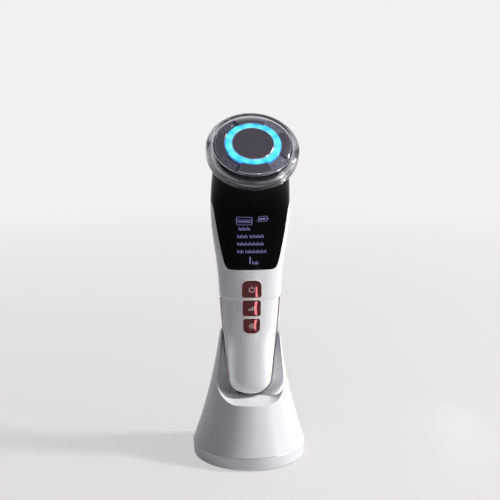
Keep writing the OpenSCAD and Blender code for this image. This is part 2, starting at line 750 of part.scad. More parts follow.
// Flat ribbon from the main board up the neck to the head's board, bent where its straight runs meet
module head_ribbon() {
    t = 0.3;
    y = board_front + t / 2;
    bends = [[y, board_high], [y, handle_len + 10],
        head_pt(ribbon_y, head_depth + 9), head_pt(ribbon_y, -board_seat)];
    function along(i) = (bends[min(i + 1, 3)] - bends[max(i - 1, 0)]);
    function across(i) = t / 2 * [-along(i)[1], along(i)[0]] / norm(along(i));
    color("orange") in_stand() translate([-ribbon_w / 2, 0, 0]) rotate([90, 0, 90]) linear_extrude(ribbon_w)
        polygon(concat([for (i = [0:3]) bends[i] + across(i)], [for (i = [3:-1:0]) bends[i] - across(i)]));
}

// Display, its holder, the main board and the switches
display_w = 18.6;
display_h = 27.5;
display_t = 1.5;
display_low = tongue_at + 2.6;
display_front = -8.6;
module display_module() {
    color("midnightblue") in_stand() translate([-display_w / 2, display_front, display_low])
        cube([display_w, display_t, display_h]);
}
module display_frame() {
    back = board_front;
    front = display_front + display_t;
    color("white") in_stand() translate([0, front, display_low]) difference() {
        translate([-display_w / 2, 0, 0]) cube([display_w, back - front, display_h]);
        translate([1.5 - display_w / 2, -1, 1.5]) cube([display_w - 3, back - front + 2, display_h - 3]);
    }
}
module main_board() {
    color("seagreen") in_stand() difference() {
        from_front(board_front, board_back) translate([0, (board_low + board_high) / 2])
            soft_rect(board_w, board_high - board_low, 1, 3);
        at_board_screws() rod(0.95, -5, 5);
    }
}
module board_screws() {
    color("silver") in_stand() at_board_screws() {
        rod(1.7, -board_t - 1.1, -board_t);
        rod(0.8, -board_t, 2);
    }
}

switch_w = 4.6;
switch_h = 1.4;
nib_r = 0.9;
nib_gap = 0.1;
switch_floor = board_front - 0.25;
module key_switch(i) {
    color("dimgray") in_stand() difference() {
        translate([-switch_w / 2, board_front - switch_h, key_mid(i) - switch_w / 2])
            cube([switch_w, switch_h, switch_w]);
        translate([0, switch_floor, key_mid(i)]) rotate([90, 0, 0]) rod(nib_r + slip, 0, 5);
    }
}
module upper_switch() { key_switch(0); }
module middle_switch() { key_switch(1); }
module lower_switch() { key_switch(2); }

// A key: its cap in the opening, a flange behind the shell and a nib that works the switch
module key(i) {
    s = key_mid(i);
    face = -half_t(s) - key_proud;
    flange = -half_t(s) + shell_wall + 0.65;
    flange_t = 0.8;
    edge = 0.3;
    color("rosybrown") in_stand() {
        from_front(face, face + edge) key_outline(i, -edge);
        from_front(face + edge - eps, flange + eps) key_outline(i);
        from_front(flange, flange + flange_t) key_outline(i, 0.7);
        translate([0, switch_floor - key_travel - nib_gap, s]) rotate([90, 0, 0])
            rod(nib_r, 0, switch_floor - key_travel - nib_gap - flange - flange_t + eps);
    }
}
module upper_key() { key(0); }
module middle_key() { key(1); }
module lower_key() { key(2); }

// Battery and charging contacts
cell_low = foot_r + 5;
cell_gap = 2.5;
cell_back = board_back + cell_gap + cell_t;
module battery_cell() {
    color("silver") in_stand() translate([0, cell_back - cell_t / 2, cell_low]) linear_extrude(cell_len)
        soft_rect(cell_w, cell_t, 2, 2);
}
module cell_pad() {
    middle = (board_low + cell_low + cell_len) / 2;
    color("gray") in_stand() translate([-5, board_back, middle - 8]) cube([10, cell_gap, 16]);
}

// Two wires from the top of the cell, each bent through a quarter turn to the back of the main board
module battery_leads() {
    r = 0.5;
    bend = 1.2;
    rise = 2;
    y = cell_back - cell_t + 1;
    color("red") in_stand() for (m = [-1, 1]) translate([m * 3, y - bend, cell_low + cell_len + rise]) {
        translate([0, bend, 0]) rod(r, -rise, 0);
        rotate([90, 0, 90]) rotate_extrude(angle = 90) translate([bend, 0]) circle(r = r, $fn = 24);
        translate([0, 0, bend]) rotate([90, 0, 0]) rod(r, 0, y - bend - board_back);
    }
}

contact_r = 1;
module charge_contacts() {
    inside = band_step + shell_wall;
    color("gold") in_stand() for (m = [-1, 1]) translate([m * contact_x, contact_y, 0]) {
        rod(contact_r, band_step, inside + 0.8);
        rod(0.5, inside + 0.8, inside + 3);
    }
}

stand_shell();
stand_base();
rubber_pad();
pin_block();
charge_pins();
stand_board();
usb_socket();
stand_leads();
base_screws();
front_shell();
rear_shell();
side_band();
neck_cover();
neck_collar();
head_seal();
head_shell();
head_base();
head_board();
head_leds();
glow_ring();
middle_plate();
arc_plate_right();
arc_plate_top();
arc_plate_left();
arc_plate_bottom();
rim_dots();
head_screws();
head_ribbon();
motor_bracket();
vibration_motor();
motor_shaft();
motor_weight();
display_module();
display_frame();
main_board();
board_screws();
upper_switch();
middle_switch();
lower_switch();
upper_key();
middle_key();
lower_key();
battery_cell();
cell_pad();
battery_leads();
charge_contacts();
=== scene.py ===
# %% [markdown]
# # A cleansing handset in its charging stand
#
# The handset has a white handle with three metallic keys, a gloss black neck with a small display, and a
# round clear head with metal electrodes and a glowing ring. It stands in the niche of a flared white stand.
# The solids come from the CAD file and are already in place. This lesson dresses them: it works out finer
# surfaces for everything that shows, gives each piece a finish, and sets up the camera and the light.

# %% Load the CAD frame
import math
import bpy
import bmesh
import numpy as np
from mathutils import Matrix, Vector


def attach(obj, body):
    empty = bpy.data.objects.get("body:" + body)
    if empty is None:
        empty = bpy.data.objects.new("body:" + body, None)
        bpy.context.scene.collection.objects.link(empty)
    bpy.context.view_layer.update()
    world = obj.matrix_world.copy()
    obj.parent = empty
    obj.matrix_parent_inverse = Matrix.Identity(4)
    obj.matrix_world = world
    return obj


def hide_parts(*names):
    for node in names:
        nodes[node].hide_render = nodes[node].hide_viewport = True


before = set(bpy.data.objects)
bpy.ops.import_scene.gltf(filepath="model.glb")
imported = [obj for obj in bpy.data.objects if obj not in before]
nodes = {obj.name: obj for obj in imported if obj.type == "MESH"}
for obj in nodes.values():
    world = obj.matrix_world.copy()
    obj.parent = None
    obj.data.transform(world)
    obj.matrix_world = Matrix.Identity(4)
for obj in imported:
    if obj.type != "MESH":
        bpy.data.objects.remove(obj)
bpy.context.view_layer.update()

# %% [markdown]
# ## Sizes
#
# Every size is a real one in millimetres, and most have the name that they have in the CAD file. The surfaces
# below follow the same formulas as the solids, with more points, so that they lie where the solids are.

# %% Sizes of the handset
handle_len, foot_w, hold_w, waist_w, neck_w = 100.0, 24.6, 33.4, 37.4, 45.2
foot_t, top_t, foot_r, foot_side_r, shell_wall = 20.0, 25.0, 9.0, 4.5, 1.8
band_depth, band_step, band_top, band_wall, tongue_len = 5.0, 0.9, 57.0, 1.7, 25.5
head_d, head_depth, elbow_rise, face_tilt, face_reach = 52.0, 10.4, 26.8, 45.0, 27.9
plate_d, glow_w, arc_w, arc_span, arc_t, arc_drop, face_fall = 23.3, 4.1, 5.2, 53.0, 1.2, 0.2, 13.2
lens_wall, lens_side_wall, lens_taper, rim_r, collar_inset, neck_ring_d = 1.8, 3.1, 0.6, 3.0, 1.2, 42.0
key_widths, key_heights, key_gap, key_below_tongue = (10.8, 10.05, 9.3), (9.4, 8.8, 8.2), 1.9, 6.4
key_clear, seat_clear, key_travel, section_n = 0.15, 0.3, 0.5, 2.35

tongue_at, hold_at, waist_at, neck_at = handle_len - tongue_len, 45, 72, handle_len + 6
side_edge_at, back_edge_rise, side_climb, climb_width = handle_len + 12.7, 6.0, 31.5, 4
face_y = -face_reach * math.sin(math.radians(face_tilt))
face_z = handle_len + elbow_rise + face_reach * math.cos(math.radians(face_tilt))
collar_t, seal_t = 1.4, 0.4
collar_back = head_depth + seal_t + collar_t
ring_r, head_r = neck_ring_d / 2, head_d / 2
collar_r, collar_hole_r = head_r - lens_taper - collar_inset, 15
board_seat, head_board_t, plate_t, dot_r = -head_depth + 3.3, 1.2, 1, 0.45
board_top = board_seat + head_board_t
contact_x, contact_y, contact_hole_r = 3, 4, 1.05
nib_r, nib_gap, switch_floor = 0.9, 0.1, -5.85
nib_end = switch_floor - key_travel - nib_gap

# %% Sizes of the stand
base_d, stand_h, top_d, flare_sag, seam_z, stand_wall = 65.9, 79.5, 33.8, 2.0, 8.4, 2.2
lean, niche_floor, niche_w, niche_r, pad_t = 4.0, 37.2, 39.2, 10.0, 1.2
niche_narrowing, niche_fall, niche_back, niche_back_r, niche_n = 0.105, 0.035, foot_t / 2 + 2.2, 5, 2.4
base_r, axis_y = base_d / 2, -4.0
seat_z = niche_floor + seat_clear + band_depth / 2 * math.sin(math.radians(lean))
arch_z, arch_r = 67.5, stand_h - 67.5
pad_r, floor_top, base_ring_wall = base_r - 4, pad_t + 1.6, 2.6
block_w, block_d, slip, hollow_top, niche_front = 13, 6.6, 0.1, 33, -60
usb_w, usb_h, stand_board_t = 8.94, 3.26, 1
usb_z = floor_top + stand_board_t + usb_h / 2
print("handset", handle_len + elbow_rise, "mm to the bend, stand", stand_h, "mm high")

# %% [markdown]
# ## Camera
#
# The photograph is taken from a little above the handset's keys and slightly from the left. The camera is
# aimed with an angle down, an angle to the side and a very small roll, so that each is one readable number.

# %% Camera at the photograph's angle
camera_away, camera_up, focal_px, image_px = 0.620, 0.254, 1105.0, 500
pitch, yaw, roll = (math.radians(a) for a in (12.0, 5.2, 0.4))
lens = bpy.data.cameras.new("camera")
lens.sensor_width = 36
lens.lens = focal_px / image_px * lens.sensor_width
lens.shift_x = -0.25 / image_px
lens.clip_start, lens.clip_end = 0.01, 50
camera = bpy.data.objects.new("camera", lens)
aim = Vector((math.sin(yaw) * math.cos(pitch), math.cos(yaw) * math.cos(pitch), -math.sin(pitch)))
stands_at = Vector((-camera_away * math.sin(yaw), -camera_away * math.cos(yaw), camera_up))
camera.matrix_world = (Matrix.Translation(stands_at) @ aim.to_track_quat("-Z", "Y").to_matrix().to_4x4()
                       @ Matrix.Rotation(roll, 4, "Z"))
bpy.context.scene.collection.objects.link(camera)
bpy.context.scene.camera = camera
print("camera at", [round(v, 3) for v in stands_at])

# %% [markdown]
# ## Writing node trees as sums
#
# A finish is a node tree. Wiring dozens of Math nodes by hand hides the idea, so a socket is wrapped in a
# small class whose +, - and * each add a Math node. Any other node goes through one method that takes the
# node's type, then its settings, then what is put into its sockets.

# %% A socket that can be added and multiplied
class Wire:
    """One output socket of a finish. Arithmetic on it, from either side, adds Math nodes."""

    def __init__(self, finish, socket):
        self.finish, self.socket = finish, socket

    def __add__(self, other):
        return self.finish.math("ADD", self, other)

    def __sub__(self, other):
        return self.finish.math("SUBTRACT", self, other)

    def __rsub__(self, other):
        return self.finish.math("SUBTRACT", other, self)

    def __mul__(self, other):
        return self.finish.math("MULTIPLY", self, other)

    __radd__, __rmul__ = __add__, __mul__


# %% Nodes: a node tree with methods that add to it
class Nodes:
    """The nodes of a material or of the world."""

    def __init__(self, owner):
        owner.use_nodes = True
        self.tree = owner.node_tree

    def put(self, node, values):
        """Sets or links sockets. An underscore in a name stands for a space; a number is a socket's place."""
        for name, value in values.items():
            socket = node.inputs[name.replace("_", " ") if isinstance(name, str) else name]
            if isinstance(value, Wire):
                self.tree.links.new(value.socket, socket)
            else:
                socket.default_value = value

    def node(self, kind, settings=None, values=None, out=0):
        """Adds a node of that type: settings first, then values or links, and gives one output."""
        made = self.tree.nodes.new(kind)
        for name, value in (settings or {}).items():
            setattr(made, name, value)
        self.put(made, values or {})
        return Wire(self, made.outputs[out])

    def math(self, operation, *values, clamp=False):
        """Adds a Math node on wires or numbers."""
        return self.node("ShaderNodeMath", {"operation": operation, "use_clamp": clamp},
                         dict(enumerate(values)))

    def mix(self, share, first, second):
        """Colour between first and second: share 0 is the first and 1 the second."""
        return self.node("ShaderNodeMix", {"data_type": "RGBA"}, {0: share, 6: first, 7: second}, out=2)

    def place(self, stretch=(1, 1, 1)):
        """Object coordinates in metres, multiplied by stretch."""
        where = self.node("ShaderNodeTexCoord", out="Object")
        return self.node("ShaderNodeVectorMath", {"operation": "MULTIPLY"}, {0: where, 1: stretch})

    def along_surface(self, axis):
        """Place on the piece's UV map from 0 to 1: X runs round a turned piece and Y along its profile."""
        return self.node("ShaderNodeSeparateXYZ", None,
                         {"Vector": self.node("ShaderNodeTexCoord", out="UV")}, out=axis)

    def near(self, value, place, reach, slope):
        """1 where value is near place, falling to 0 at the distance reach."""
        return self.math("MULTIPLY", reach - self.math("ABSOLUTE", value - place), slope, clamp=True)

    def noise(self, size_mm, detail=2.0, stretch=(1, 1, 1)):
        """Cloudy pattern from 0 to 1 whose spots are about size_mm across."""
        return self.node("ShaderNodeTexNoise", None,
                         {"Vector": self.place(stretch), "Scale": 1000.0 / size_mm, "Detail": detail})

    def bump(self, height, depth_mm):
        """Normal of a surface that rises by depth_mm where height goes from 0 to 1."""
        return self.node("ShaderNodeBump", None, {"Height": height, "Distance": depth_mm / 1000.0})

    def rays(self):
        """1 or 0 for rays: from the camera, through clear plastic, and any that is seen or mirrored."""
        path = self.tree.nodes.new("ShaderNodeLightPath")
        camera, glossy, clear = (Wire(self, path.outputs["Is %s Ray" % k])
                                 for k in ("Camera", "Glossy", "Transmission"))
        return camera, clear, self.math("MAXIMUM", camera, self.math("MAXIMUM", glossy, clear))


# %% A finish: one material with a Principled shader
class Finish(Nodes):
    """A material. Values that are the same all over are given by name when it is made."""

    def __init__(self, name, **uniform):
        self.material = bpy.data.materials.new(name)
        super().__init__(self.material)
        self.shader = self.tree.nodes["Principled BSDF"]
        self.put(self.shader, uniform)

    def use(self, **wires):
        """Links what changes over the surface, and gives the finished material."""
        self.put(self.shader, wires)
        print("finish", self.material.name, "with", len(self.tree.nodes), "nodes")
        return self.material


def rgb(red, green, blue):
    """Shader colour for a colour written in 0..255 screen values."""
    channel = lambda v: v / 255 / 12.92 if v <= 10 else ((v / 255 + 0.055) / 1.055) ** 2.4
    return (channel(red), channel(green), channel(blue), 1.0)


print("gray 128 is", round(rgb(128, 128, 128)[0], 3), "to the shader")

# %% [markdown]
# ## Plastics
#
# The white shells are moulded in polished tools. Such a skin isn't flat: it has a faint orange peel about
# 3 mm across, a finer grain, and slightly uneven gloss where fingers have been. A plain colour would look
# like paper, so each plastic mixes two close tones and lets noise drive roughness and bump.

# %% Moulded plastic
def plastic(name, tone, tone_2, rough, peel_mm=3.0, peel_depth=0.004, grain_mm=0.35, grain_depth=0.001,
            **uniform):
    """Moulded plastic: two tones in soft clouds, uneven gloss, orange peel and fine grain."""
    finish = Finish(name, **uniform)
    clouds, grain, peel = finish.noise(14, 3.0), finish.noise(grain_mm, 2.0), finish.noise(peel_mm, 1.0)
    depth = peel_depth + grain_depth
    height = peel * (peel_depth / depth) + grain * (grain_depth / depth)
    return finish.use(Base_Color=finish.mix(clouds, rgb(*tone), rgb(*tone_2)),
                      Roughness=clouds * 0.08 + grain * 0.05 + (rough - 0.065),
                      Normal=finish.bump(height, depth))


white_shell = plastic("white_shell", (236, 236, 239), (228, 229, 233), 0.24, Coat_Weight=0.25,
                      Coat_Roughness=0.06)
stand_white = plastic("stand_white", (234, 235, 238), (226, 228, 232), 0.30, Coat_Weight=0.15,
                      Coat_Roughness=0.12)
gloss_black = plastic("gloss_black", (3, 3, 4), (6, 5, 7), 0.12, peel_depth=0.002, grain_depth=0.0003,
                      Specular_IOR_Level=0.035)
black_plastic = plastic("black_plastic", (34, 34, 37), (44, 44, 48), 0.5, grain_depth=0.006)
switch_plastic = plastic("switch_plastic", (58, 58, 62), (70, 70, 74), 0.45, grain_depth=0.004)
face_mask = plastic("face_mask", (128, 128, 146), (146, 146, 166), 0.30, grain_mm=0.25, grain_depth=0.003,
                    Metallic=0.6)
wire_red = plastic("wire_red", (176, 34, 30), (150, 24, 22), 0.4, grain_depth=0.002)
ribbon_film = plastic("ribbon_film", (196, 122, 44), (176, 102, 32), 0.28, peel_depth=0.001)
key_rim = plastic("key_rim", (246, 234, 226), (240, 222, 212), 0.2, peel_depth=0.001, grain_depth=0.0005,
                  Coat_Weight=0.4, Coat_Roughness=0.05)
key_symbol = plastic("key_symbol", (242, 226, 220), (228, 206, 198), 0.4, grain_depth=0.002)
print("plastics:", len(bpy.data.materials))

# %% Rubber and foam
def soft_black(name, tone, tone_2, pore_mm, pore_depth, rough):
    """Rubber or foam: pores are the dark cells of a Voronoi pattern, deep in foam and shallow in rubber."""
    finish = Finish(name, Roughness=rough)
    cells = finish.node("ShaderNodeTexVoronoi", None,
                        {"Vector": finish.place(), "Scale": 1000 / pore_mm}, out="Distance")
    clouds = finish.noise(6, 3.0)
    return finish.use(Base_Color=finish.mix(cells * 0.7 + clouds * 0.3, rgb(*tone), rgb(*tone_2)),
                      Roughness=clouds * 0.15 + (rough - 0.08), Normal=finish.bump(cells, pore_depth))


rubber = soft_black("rubber", (38, 38, 41), (56, 56, 59), 0.5, 0.02, 0.72)
foam = soft_black("foam", (30, 30, 33), (74, 74, 78), 0.7, 0.25, 0.9)

# %% [markdown]
# ## Metals
#
# Three kinds of metal show. The electrodes are satin steel, dark because they mirror a dark room. The side
# band and the keys are polished. Brushing is noise that is stretched a lot along one direction, and it
# works on the roughness and the bump more than on the colour.

# %% Brushed and polished metal
def metal(name, tone, tone_2, rough, brush_mm=0.25, stretch=(1, 1, 1), depth=0.0015):
    """Metal with fine marks: brush_mm is their width, and a small number in stretch draws them out."""
    finish = Finish(name, Metallic=1.0)
    marks, clouds = finish.noise(brush_mm, 3.0, stretch), finish.noise(9, 2.0)
    return finish.use(Base_Color=finish.mix(marks * 0.5 + clouds * 0.5, rgb(*tone), rgb(*tone_2)),
                      Roughness=marks * 0.12 + clouds * 0.06 + (rough - 0.09),
                      Normal=finish.bump(marks, depth))


satin_steel = metal("satin_steel", (206, 202, 212), (218, 214, 224), 0.16, depth=0.0008)
band_metal = metal("band_metal", (120, 116, 120), (138, 134, 138), 0.16, 0.3, (1, 1, 0.05), 0.0006)
screw_steel = metal("screw_steel", (178, 178, 182), (150, 150, 156), 0.3)
tin_plate = metal("tin_plate", (206, 206, 208), (182, 182, 186), 0.28, 0.4)
motor_steel = metal("motor_steel", (190, 190, 194), (168, 168, 172), 0.3, 0.3, (0.05, 1, 1))
gold_contact = metal("gold_contact", (226, 178, 92), (204, 152, 66), 0.22)
cell_wrap = metal("cell_wrap", (196, 198, 202), (176, 178, 184), 0.36, 0.8)

# %% Rose-gold keys
def rose_gold_finish():
    """Mirror-like metallised plastic under clear lacquer: deep warm tone with faint vertical streaks."""
    finish = Finish("rose_gold", Metallic=1.0, Coat_Weight=0.3, Coat_Roughness=0.03)
    streaks, clouds = finish.noise(1.6, 2.0, (1, 1, 0.12)), finish.noise(5, 2.0)
    return finish.use(Base_Color=finish.mix(streaks, rgb(58, 20, 25), rgb(94, 38, 40)),
                      Roughness=clouds * 0.05 + 0.05, Normal=finish.bump(clouds, 0.01))


rose_gold = rose_gold_finish()

# %% [markdown]
# ## Circuit boards
#
# A board shows its solder mask and, through it, the copper tracks as slightly lighter, raised lines. A sine
# of x gives straight runs 0.9 mm apart, and noise leaves some patches bare. The head's board is black, as it
# is behind the lamps, where light mustn't be coloured.

# %% Solder mask over tracks
def board(name, mask, copper):
    """Circuit board: parallel tracks from a sine, in blocks that noise cuts out."""
    finish, track_pitch = Finish(name), 0.0009
    x = finish.node("ShaderNodeSeparateXYZ", None, {"Vector": finish.place()}, out="X")
    track = finish.math("GREATER_THAN", finish.math("SINE", x * (2 * math.pi / track_pitch)), 0.2)
    where = finish.math("GREATER_THAN", finish.noise(7, 0.0), 0.5)
    lines, grain = track * where, finish.noise(0.3)
    return finish.use(Base_Color=finish.mix(lines, rgb(*mask), rgb(*copper)), Roughness=grain * 0.1 + 0.32,
                      Normal=finish.bump(lines * 0.9 + grain * 0.1, 0.03))


board_green = board("board_green", (14, 92, 52), (34, 124, 74))
board_black = board("board_black", (20, 20, 24), (36, 36, 42))

# %% [markdown]
# ## Clear head and light
#
# The head's drum is clear plastic that bends light a little less than acrylic does, since its many surfaces
# add up. Fine rings run round it, from a sine of v along its profile. The ring under the electrodes is
# milky and glows. Its twelve lamps show as brighter spots, from a sine of u, which runs once round.

# %% Clear plastic
def clear_finish():
    """Clear plastic with slow waves, and fine rings round the drum whose crests are a little frosted."""
    finish = Finish("clear_head", Transmission_Weight=1.0, IOR=1.36)
    waves, haze = finish.noise(7, 1.0), finish.noise(2.0, 3.0)
    ring_count = 38
    rings = finish.math("SINE", finish.along_surface("Y") * (2 * math.pi * ring_count)) * 0.5 + 0.5
    crests = finish.math("MULTIPLY", rings - 0.82, 5, clamp=True)
    return finish.use(Base_Color=finish.mix(haze, rgb(222, 222, 228), rgb(208, 209, 216)),
                      Roughness=haze * 0.04 + crests * 0.3 + 0.01,
                      Normal=finish.bump(waves * 0.4 + rings * 0.6, 0.05))


clear_head = clear_finish()

# %% Glowing ring
def glow_finish():
    """Milky ring: cyan light, brighter over each lamp, lavender towards its inner edge, blue at both rims."""
    finish, lamp_count = Finish("diffuser", Emission_Strength=1.0, Roughness=0.25), 12
    u, v = finish.along_surface("X"), finish.along_surface("Y")
    lamps = finish.math("SINE", u * (2 * math.pi * lamp_count)) * 0.3 + 0.7
    clouds = finish.noise(7, 1.0)
    spots = finish.math("MULTIPLY", lamps, clouds * 1.8, clamp=True)
    inward = finish.math("SUBTRACT", v, 0.55, clamp=True) * 2.0
    lavender = finish.math("MULTIPLY", inward, clouds * 1.6, clamp=True) * 0.7
    rims = finish.near(v, 0.13, 0.17, 12) + finish.near(v, 0.83, 0.05, 22)
    cyan = finish.mix(spots, rgb(18, 176, 236), rgb(96, 252, 255))
    light = finish.mix(finish.math("MULTIPLY", rims, 0.8, clamp=True),
                       finish.mix(lavender, cyan, rgb(190, 190, 255)), rgb(52, 84, 205))
    return finish.use(Base_Color=finish.mix(spots, rgb(30, 90, 120), rgb(60, 140, 160)), Emission_Color=light,
                      Roughness=clouds * 0.1 + 0.2, Normal=finish.bump(clouds, 0.01))


def lamp_finish(name, tone, tone_2):
    """Small light source: its colour wavers a little from place to place."""
    finish = Finish(name, Emission_Strength=1.0, Base_Color=rgb(12, 12, 16))
    clouds = finish.noise(1.5, 1.0)
    return finish.use(Emission_Color=finish.mix(clouds, rgb(*tone), rgb(*tone_2)),
                      Roughness=clouds * 0.1 + 0.3)


diffuser = glow_finish()
led_light = lamp_finish("led_light", (120, 235, 255), (170, 245, 255))
display_light = lamp_finish("display_light", (96, 98, 152), (126, 128, 180))
display_dim = lamp_finish("display_dim", (8, 10, 58), (12, 14, 74))
display_glass = plastic("display_glass", (16, 18, 32), (24, 26, 44), 0.1, peel_depth=0.001,
                        grain_depth=0.0002)
print("finishes:", len(bpy.data.materials))

# %% [markdown]
# ## Surfaces from arrays
#
# A surface is a grid of points: rows one way, columns the other. The faces of such a grid follow from its
# size alone, so whole pieces can be made without a loop over points. A closed piece is one or more grids
# whose edges meet. Points that coincide are merged, and that also closes the poles.

# %% From grids to a mesh
def grid_faces(rows, cols, ring_rows=False, ring_cols=False):
    """Corner numbers of the quads of a grid, with the last row or column joined to the first on request."""
    i, j = np.arange(rows if ring_rows else rows - 1), np.arange(cols if ring_cols else cols - 1)
    i, j = (a.ravel() for a in np.meshgrid(i, j, indexing="ij"))
    i2, j2 = (i + 1) % rows, (j + 1) % cols
    corners = np.stack([i * cols + j, i * cols + j2, i2 * cols + j2, i2 * cols + j], -1)
    places = np.stack([np.stack([j, i], -1), np.stack([j + 1, i], -1),
                       np.stack([j + 1, i + 1], -1), np.stack([j, i + 1], -1)], 1)
    return corners, places / np.array([cols if ring_cols else cols - 1, rows if ring_rows else rows - 1])


def close_up(mesh):
    """Merges points that coincide, drops faces without area and turns all faces outwards."""
    work = bmesh.new()
    work.from_mesh(mesh)
    bmesh.ops.remove_doubles(work, verts=work.verts, dist=2e-6)
    bmesh.ops.dissolve_degenerate(work, edges=work.edges, dist=1e-7)
    bmesh.ops.recalc_face_normals(work, faces=work.faces)
    work.to_mesh(mesh)
    work.free()


def build(name, *surfaces, sharp=40, merge=True):
    """Object from grids of points in millimetres. Each surface is (points, ring_rows, ring_cols)."""
    points, corners, places, start = [], [], [], 0
    for grid, ring_rows, ring_cols in surfaces:
        faces, uv = grid_faces(*grid.shape[:2], ring_rows, ring_cols)
        points.append(grid.reshape(-1, 3))
        corners.append(faces + start)
        places.append(uv)
        start += grid.shape[0] * grid.shape[1]
    mesh = bpy.data.meshes.new(name)
    mesh.from_pydata(np.concatenate(points) / 1000, [], np.concatenate(corners))
    mesh.uv_layers.new(name="uv").data.foreach_set("uv", np.concatenate(places).astype(np.float32).ravel())
    if merge:
        close_up(mesh)
    smooth(mesh, sharp)
    piece = bpy.data.objects.new(name, mesh)
    bpy.context.scene.collection.objects.link(piece)
    return piece


def smooth(mesh, sharp=40):
    """Smooth shading, with a crease where two faces meet at more than sharp degrees."""
    mesh.shade_smooth()
    mesh.set_sharp_from_angle(angle=math.radians(sharp))


# %% Modifiers, cutting and dressing
def settle(piece):
    """Applies the piece's modifiers."""
    shape = piece.evaluated_get(bpy.context.evaluated_depsgraph_get())
    mesh = bpy.data.meshes.new_from_object(shape)
    piece.modifiers.clear()
    piece.data = mesh
    smooth(mesh)


def soften(piece, width):
    """Rounds the piece's edges of more than 50 degrees by a Bevel modifier."""
    rounding = piece.modifiers.new("rounded edges", "BEVEL")
    rounding.width, rounding.segments = width / 1000, 2
    rounding.limit_method, rounding.angle_limit = "ANGLE", math.radians(50)
    settle(piece)


def carve(piece, tools, operation="DIFFERENCE"):
    """Cuts the tools out of the piece, or keeps only what is inside them, and removes the tools."""
    for tool in tools:
        cut = piece.modifiers.new("cut", "BOOLEAN")
        cut.operation, cut.object, cut.solver = operation, tool, "EXACT"
    settle(piece)
    for tool in tools:
        bpy.data.objects.remove(tool)


def dress(piece, body, slot, finish, *replaced):
    """Gives the piece its finish and its body, and hides the CAD nodes that it stands for; slot is not used.
    """
    piece.data.materials.clear()
    piece.data.materials.append(finish)
    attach(piece, body)
    if replaced:
        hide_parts(*replaced)
    print(piece.name, len(piece.data.polygons), "faces")


# %% Helpers for outlines and turned shapes
def turned_grid(profile, turns=160):
    """Profile of (radius, height) carried round the Z axis."""
    angle = np.radians(np.linspace(0, 360, turns, endpoint=False))[None, :]
    r, z = np.array(profile, float).T[..., None]
    return np.stack([r * np.cos(angle), r * np.sin(angle), z + 0 * angle], -1)


def turned(name, profile, turns=160):
    """Turned piece that stands upright: its profile runs from pole to pole."""
    return build(name, (turned_grid(profile, turns), False, True))


def arc(x, y, r, start, stop, steps=8, stretch=1.0):
    """Points on a circle in the profile's plane, from one angle in degrees to another."""
    a = np.radians(np.linspace(start, stop, steps))
    return np.stack([x + r * np.cos(a), y + stretch * r * np.sin(a)], -1).tolist()


def soft_outline(w, h, r_up, r_low, steps=10):
    """Rectangle round the origin with one radius for its upper corners and one for its lower corners."""
    corners = [(w / 2 - r_up, h / 2 - r_up, r_up, 0), (r_up - w / 2, h / 2 - r_up, r_up, 90),
               (r_low - w / 2, r_low - h / 2, r_low, 180), (w / 2 - r_low, r_low - h / 2, r_low, 270)]
    return np.array([p for x, y, r, a in corners for p in arc(x, y, r, a, a + 90, steps)])


def dense(outline, step=0.6):
    """The closed outline with points added so that none is farther than step from the next."""
    ahead = np.roll(outline, -1, 0)
    count = np.maximum(np.ceil(np.linalg.norm(ahead - outline, axis=1) / step), 1).astype(int)
    return np.concatenate([a + (b - a) * np.arange(n)[:, None] / n for a, b, n in zip(outline, ahead, count)])


def prism(name, outline, y0, y1):
    """Closed solid from an outline in x and z, drawn from depth y0 to y1 with flat ends."""
    n = len(outline)
    ends = [np.column_stack([outline[:, 0], np.full(n, y), outline[:, 1]]) for y in (y0, y1)]
    sides, _ = grid_faces(2, n, False, True)
    flat_ends = [list(range(n)), list(range(2 * n - 1, n - 1, -1))]
    mesh = bpy.data.meshes.new(name)
    mesh.from_pydata(np.concatenate(ends) / 1000, [], sides.tolist() + flat_ends)
    close_up(mesh)
    piece = bpy.data.objects.new(name, mesh)
    bpy.context.scene.collection.objects.link(piece)
    return piece


def move_points(piece, rule):
    """Sends every point of the piece's mesh, in millimetres, through rule."""
    flat = np.empty(len(piece.data.vertices) * 3)
    piece.data.vertices.foreach_get("co", flat)
    piece.data.vertices.foreach_set("co", (rule(flat.reshape(-1, 3) * 1000) / 1000).ravel())
    piece.data.update()
    return piece


# %% [markdown]
# ## The handset's own places
#
# The handset leans back in the stand by 4 degrees, and its head is tilted by 45 degrees on the handle. Two
# functions turn points from the handset's and the head's own directions into the scene's.

# %% From the handset and the head into the scene
def turn_x(points, degrees):
    """Points turned about the X axis."""
    c, s = math.cos(math.radians(degrees)), math.sin(math.radians(degrees))
    x, y, z = np.moveaxis(np.asarray(points, float), -1, 0)
    return np.stack([x, y * c - z * s, y * s + z * c], -1)


def in_stand(points):
    """Handset's points in the scene: leant back, and set down on the niche's floor."""
    return turn_x(points, -lean) + (0, axis_y, seat_z)


def on_head(points):
    """Head's points in the scene: tilted with the face, moved to its middle, then placed with the handset."""
    return in_stand(turn_x(points, face_tilt) + (0, face_y, face_z))


def turned_on_head(name, profile, turns=160, ring=True, sharp=40):
    """Turned piece of the head: its profile closes on itself, or runs from pole to pole if not a ring."""
    return build(name, (on_head(turned_grid(profile, turns)), ring, True), sharp=sharp)


print("face centre", on_head(np.zeros(3)).round(2))

# %% [markdown]
# ## One formula for the whole handset
#
# The handle, the band and the neck share one skin. Its width follows a smooth curve through five widths,
# its section is a superellipse, and above the handle the section's front and back points run along two
# Bezier curves into the ring of the head. Since every shell uses the same function, their edges meet.

# %% Width, thickness and rounding of the foot
def head_point(r, t):
    """Point beside the head's axis in the handset's y-z plane: r up the face, t behind it."""
    c, s = math.cos(math.radians(face_tilt)), math.sin(math.radians(face_tilt))
    return np.array([face_y + r * c + t * s, face_z + r * s - t * c])


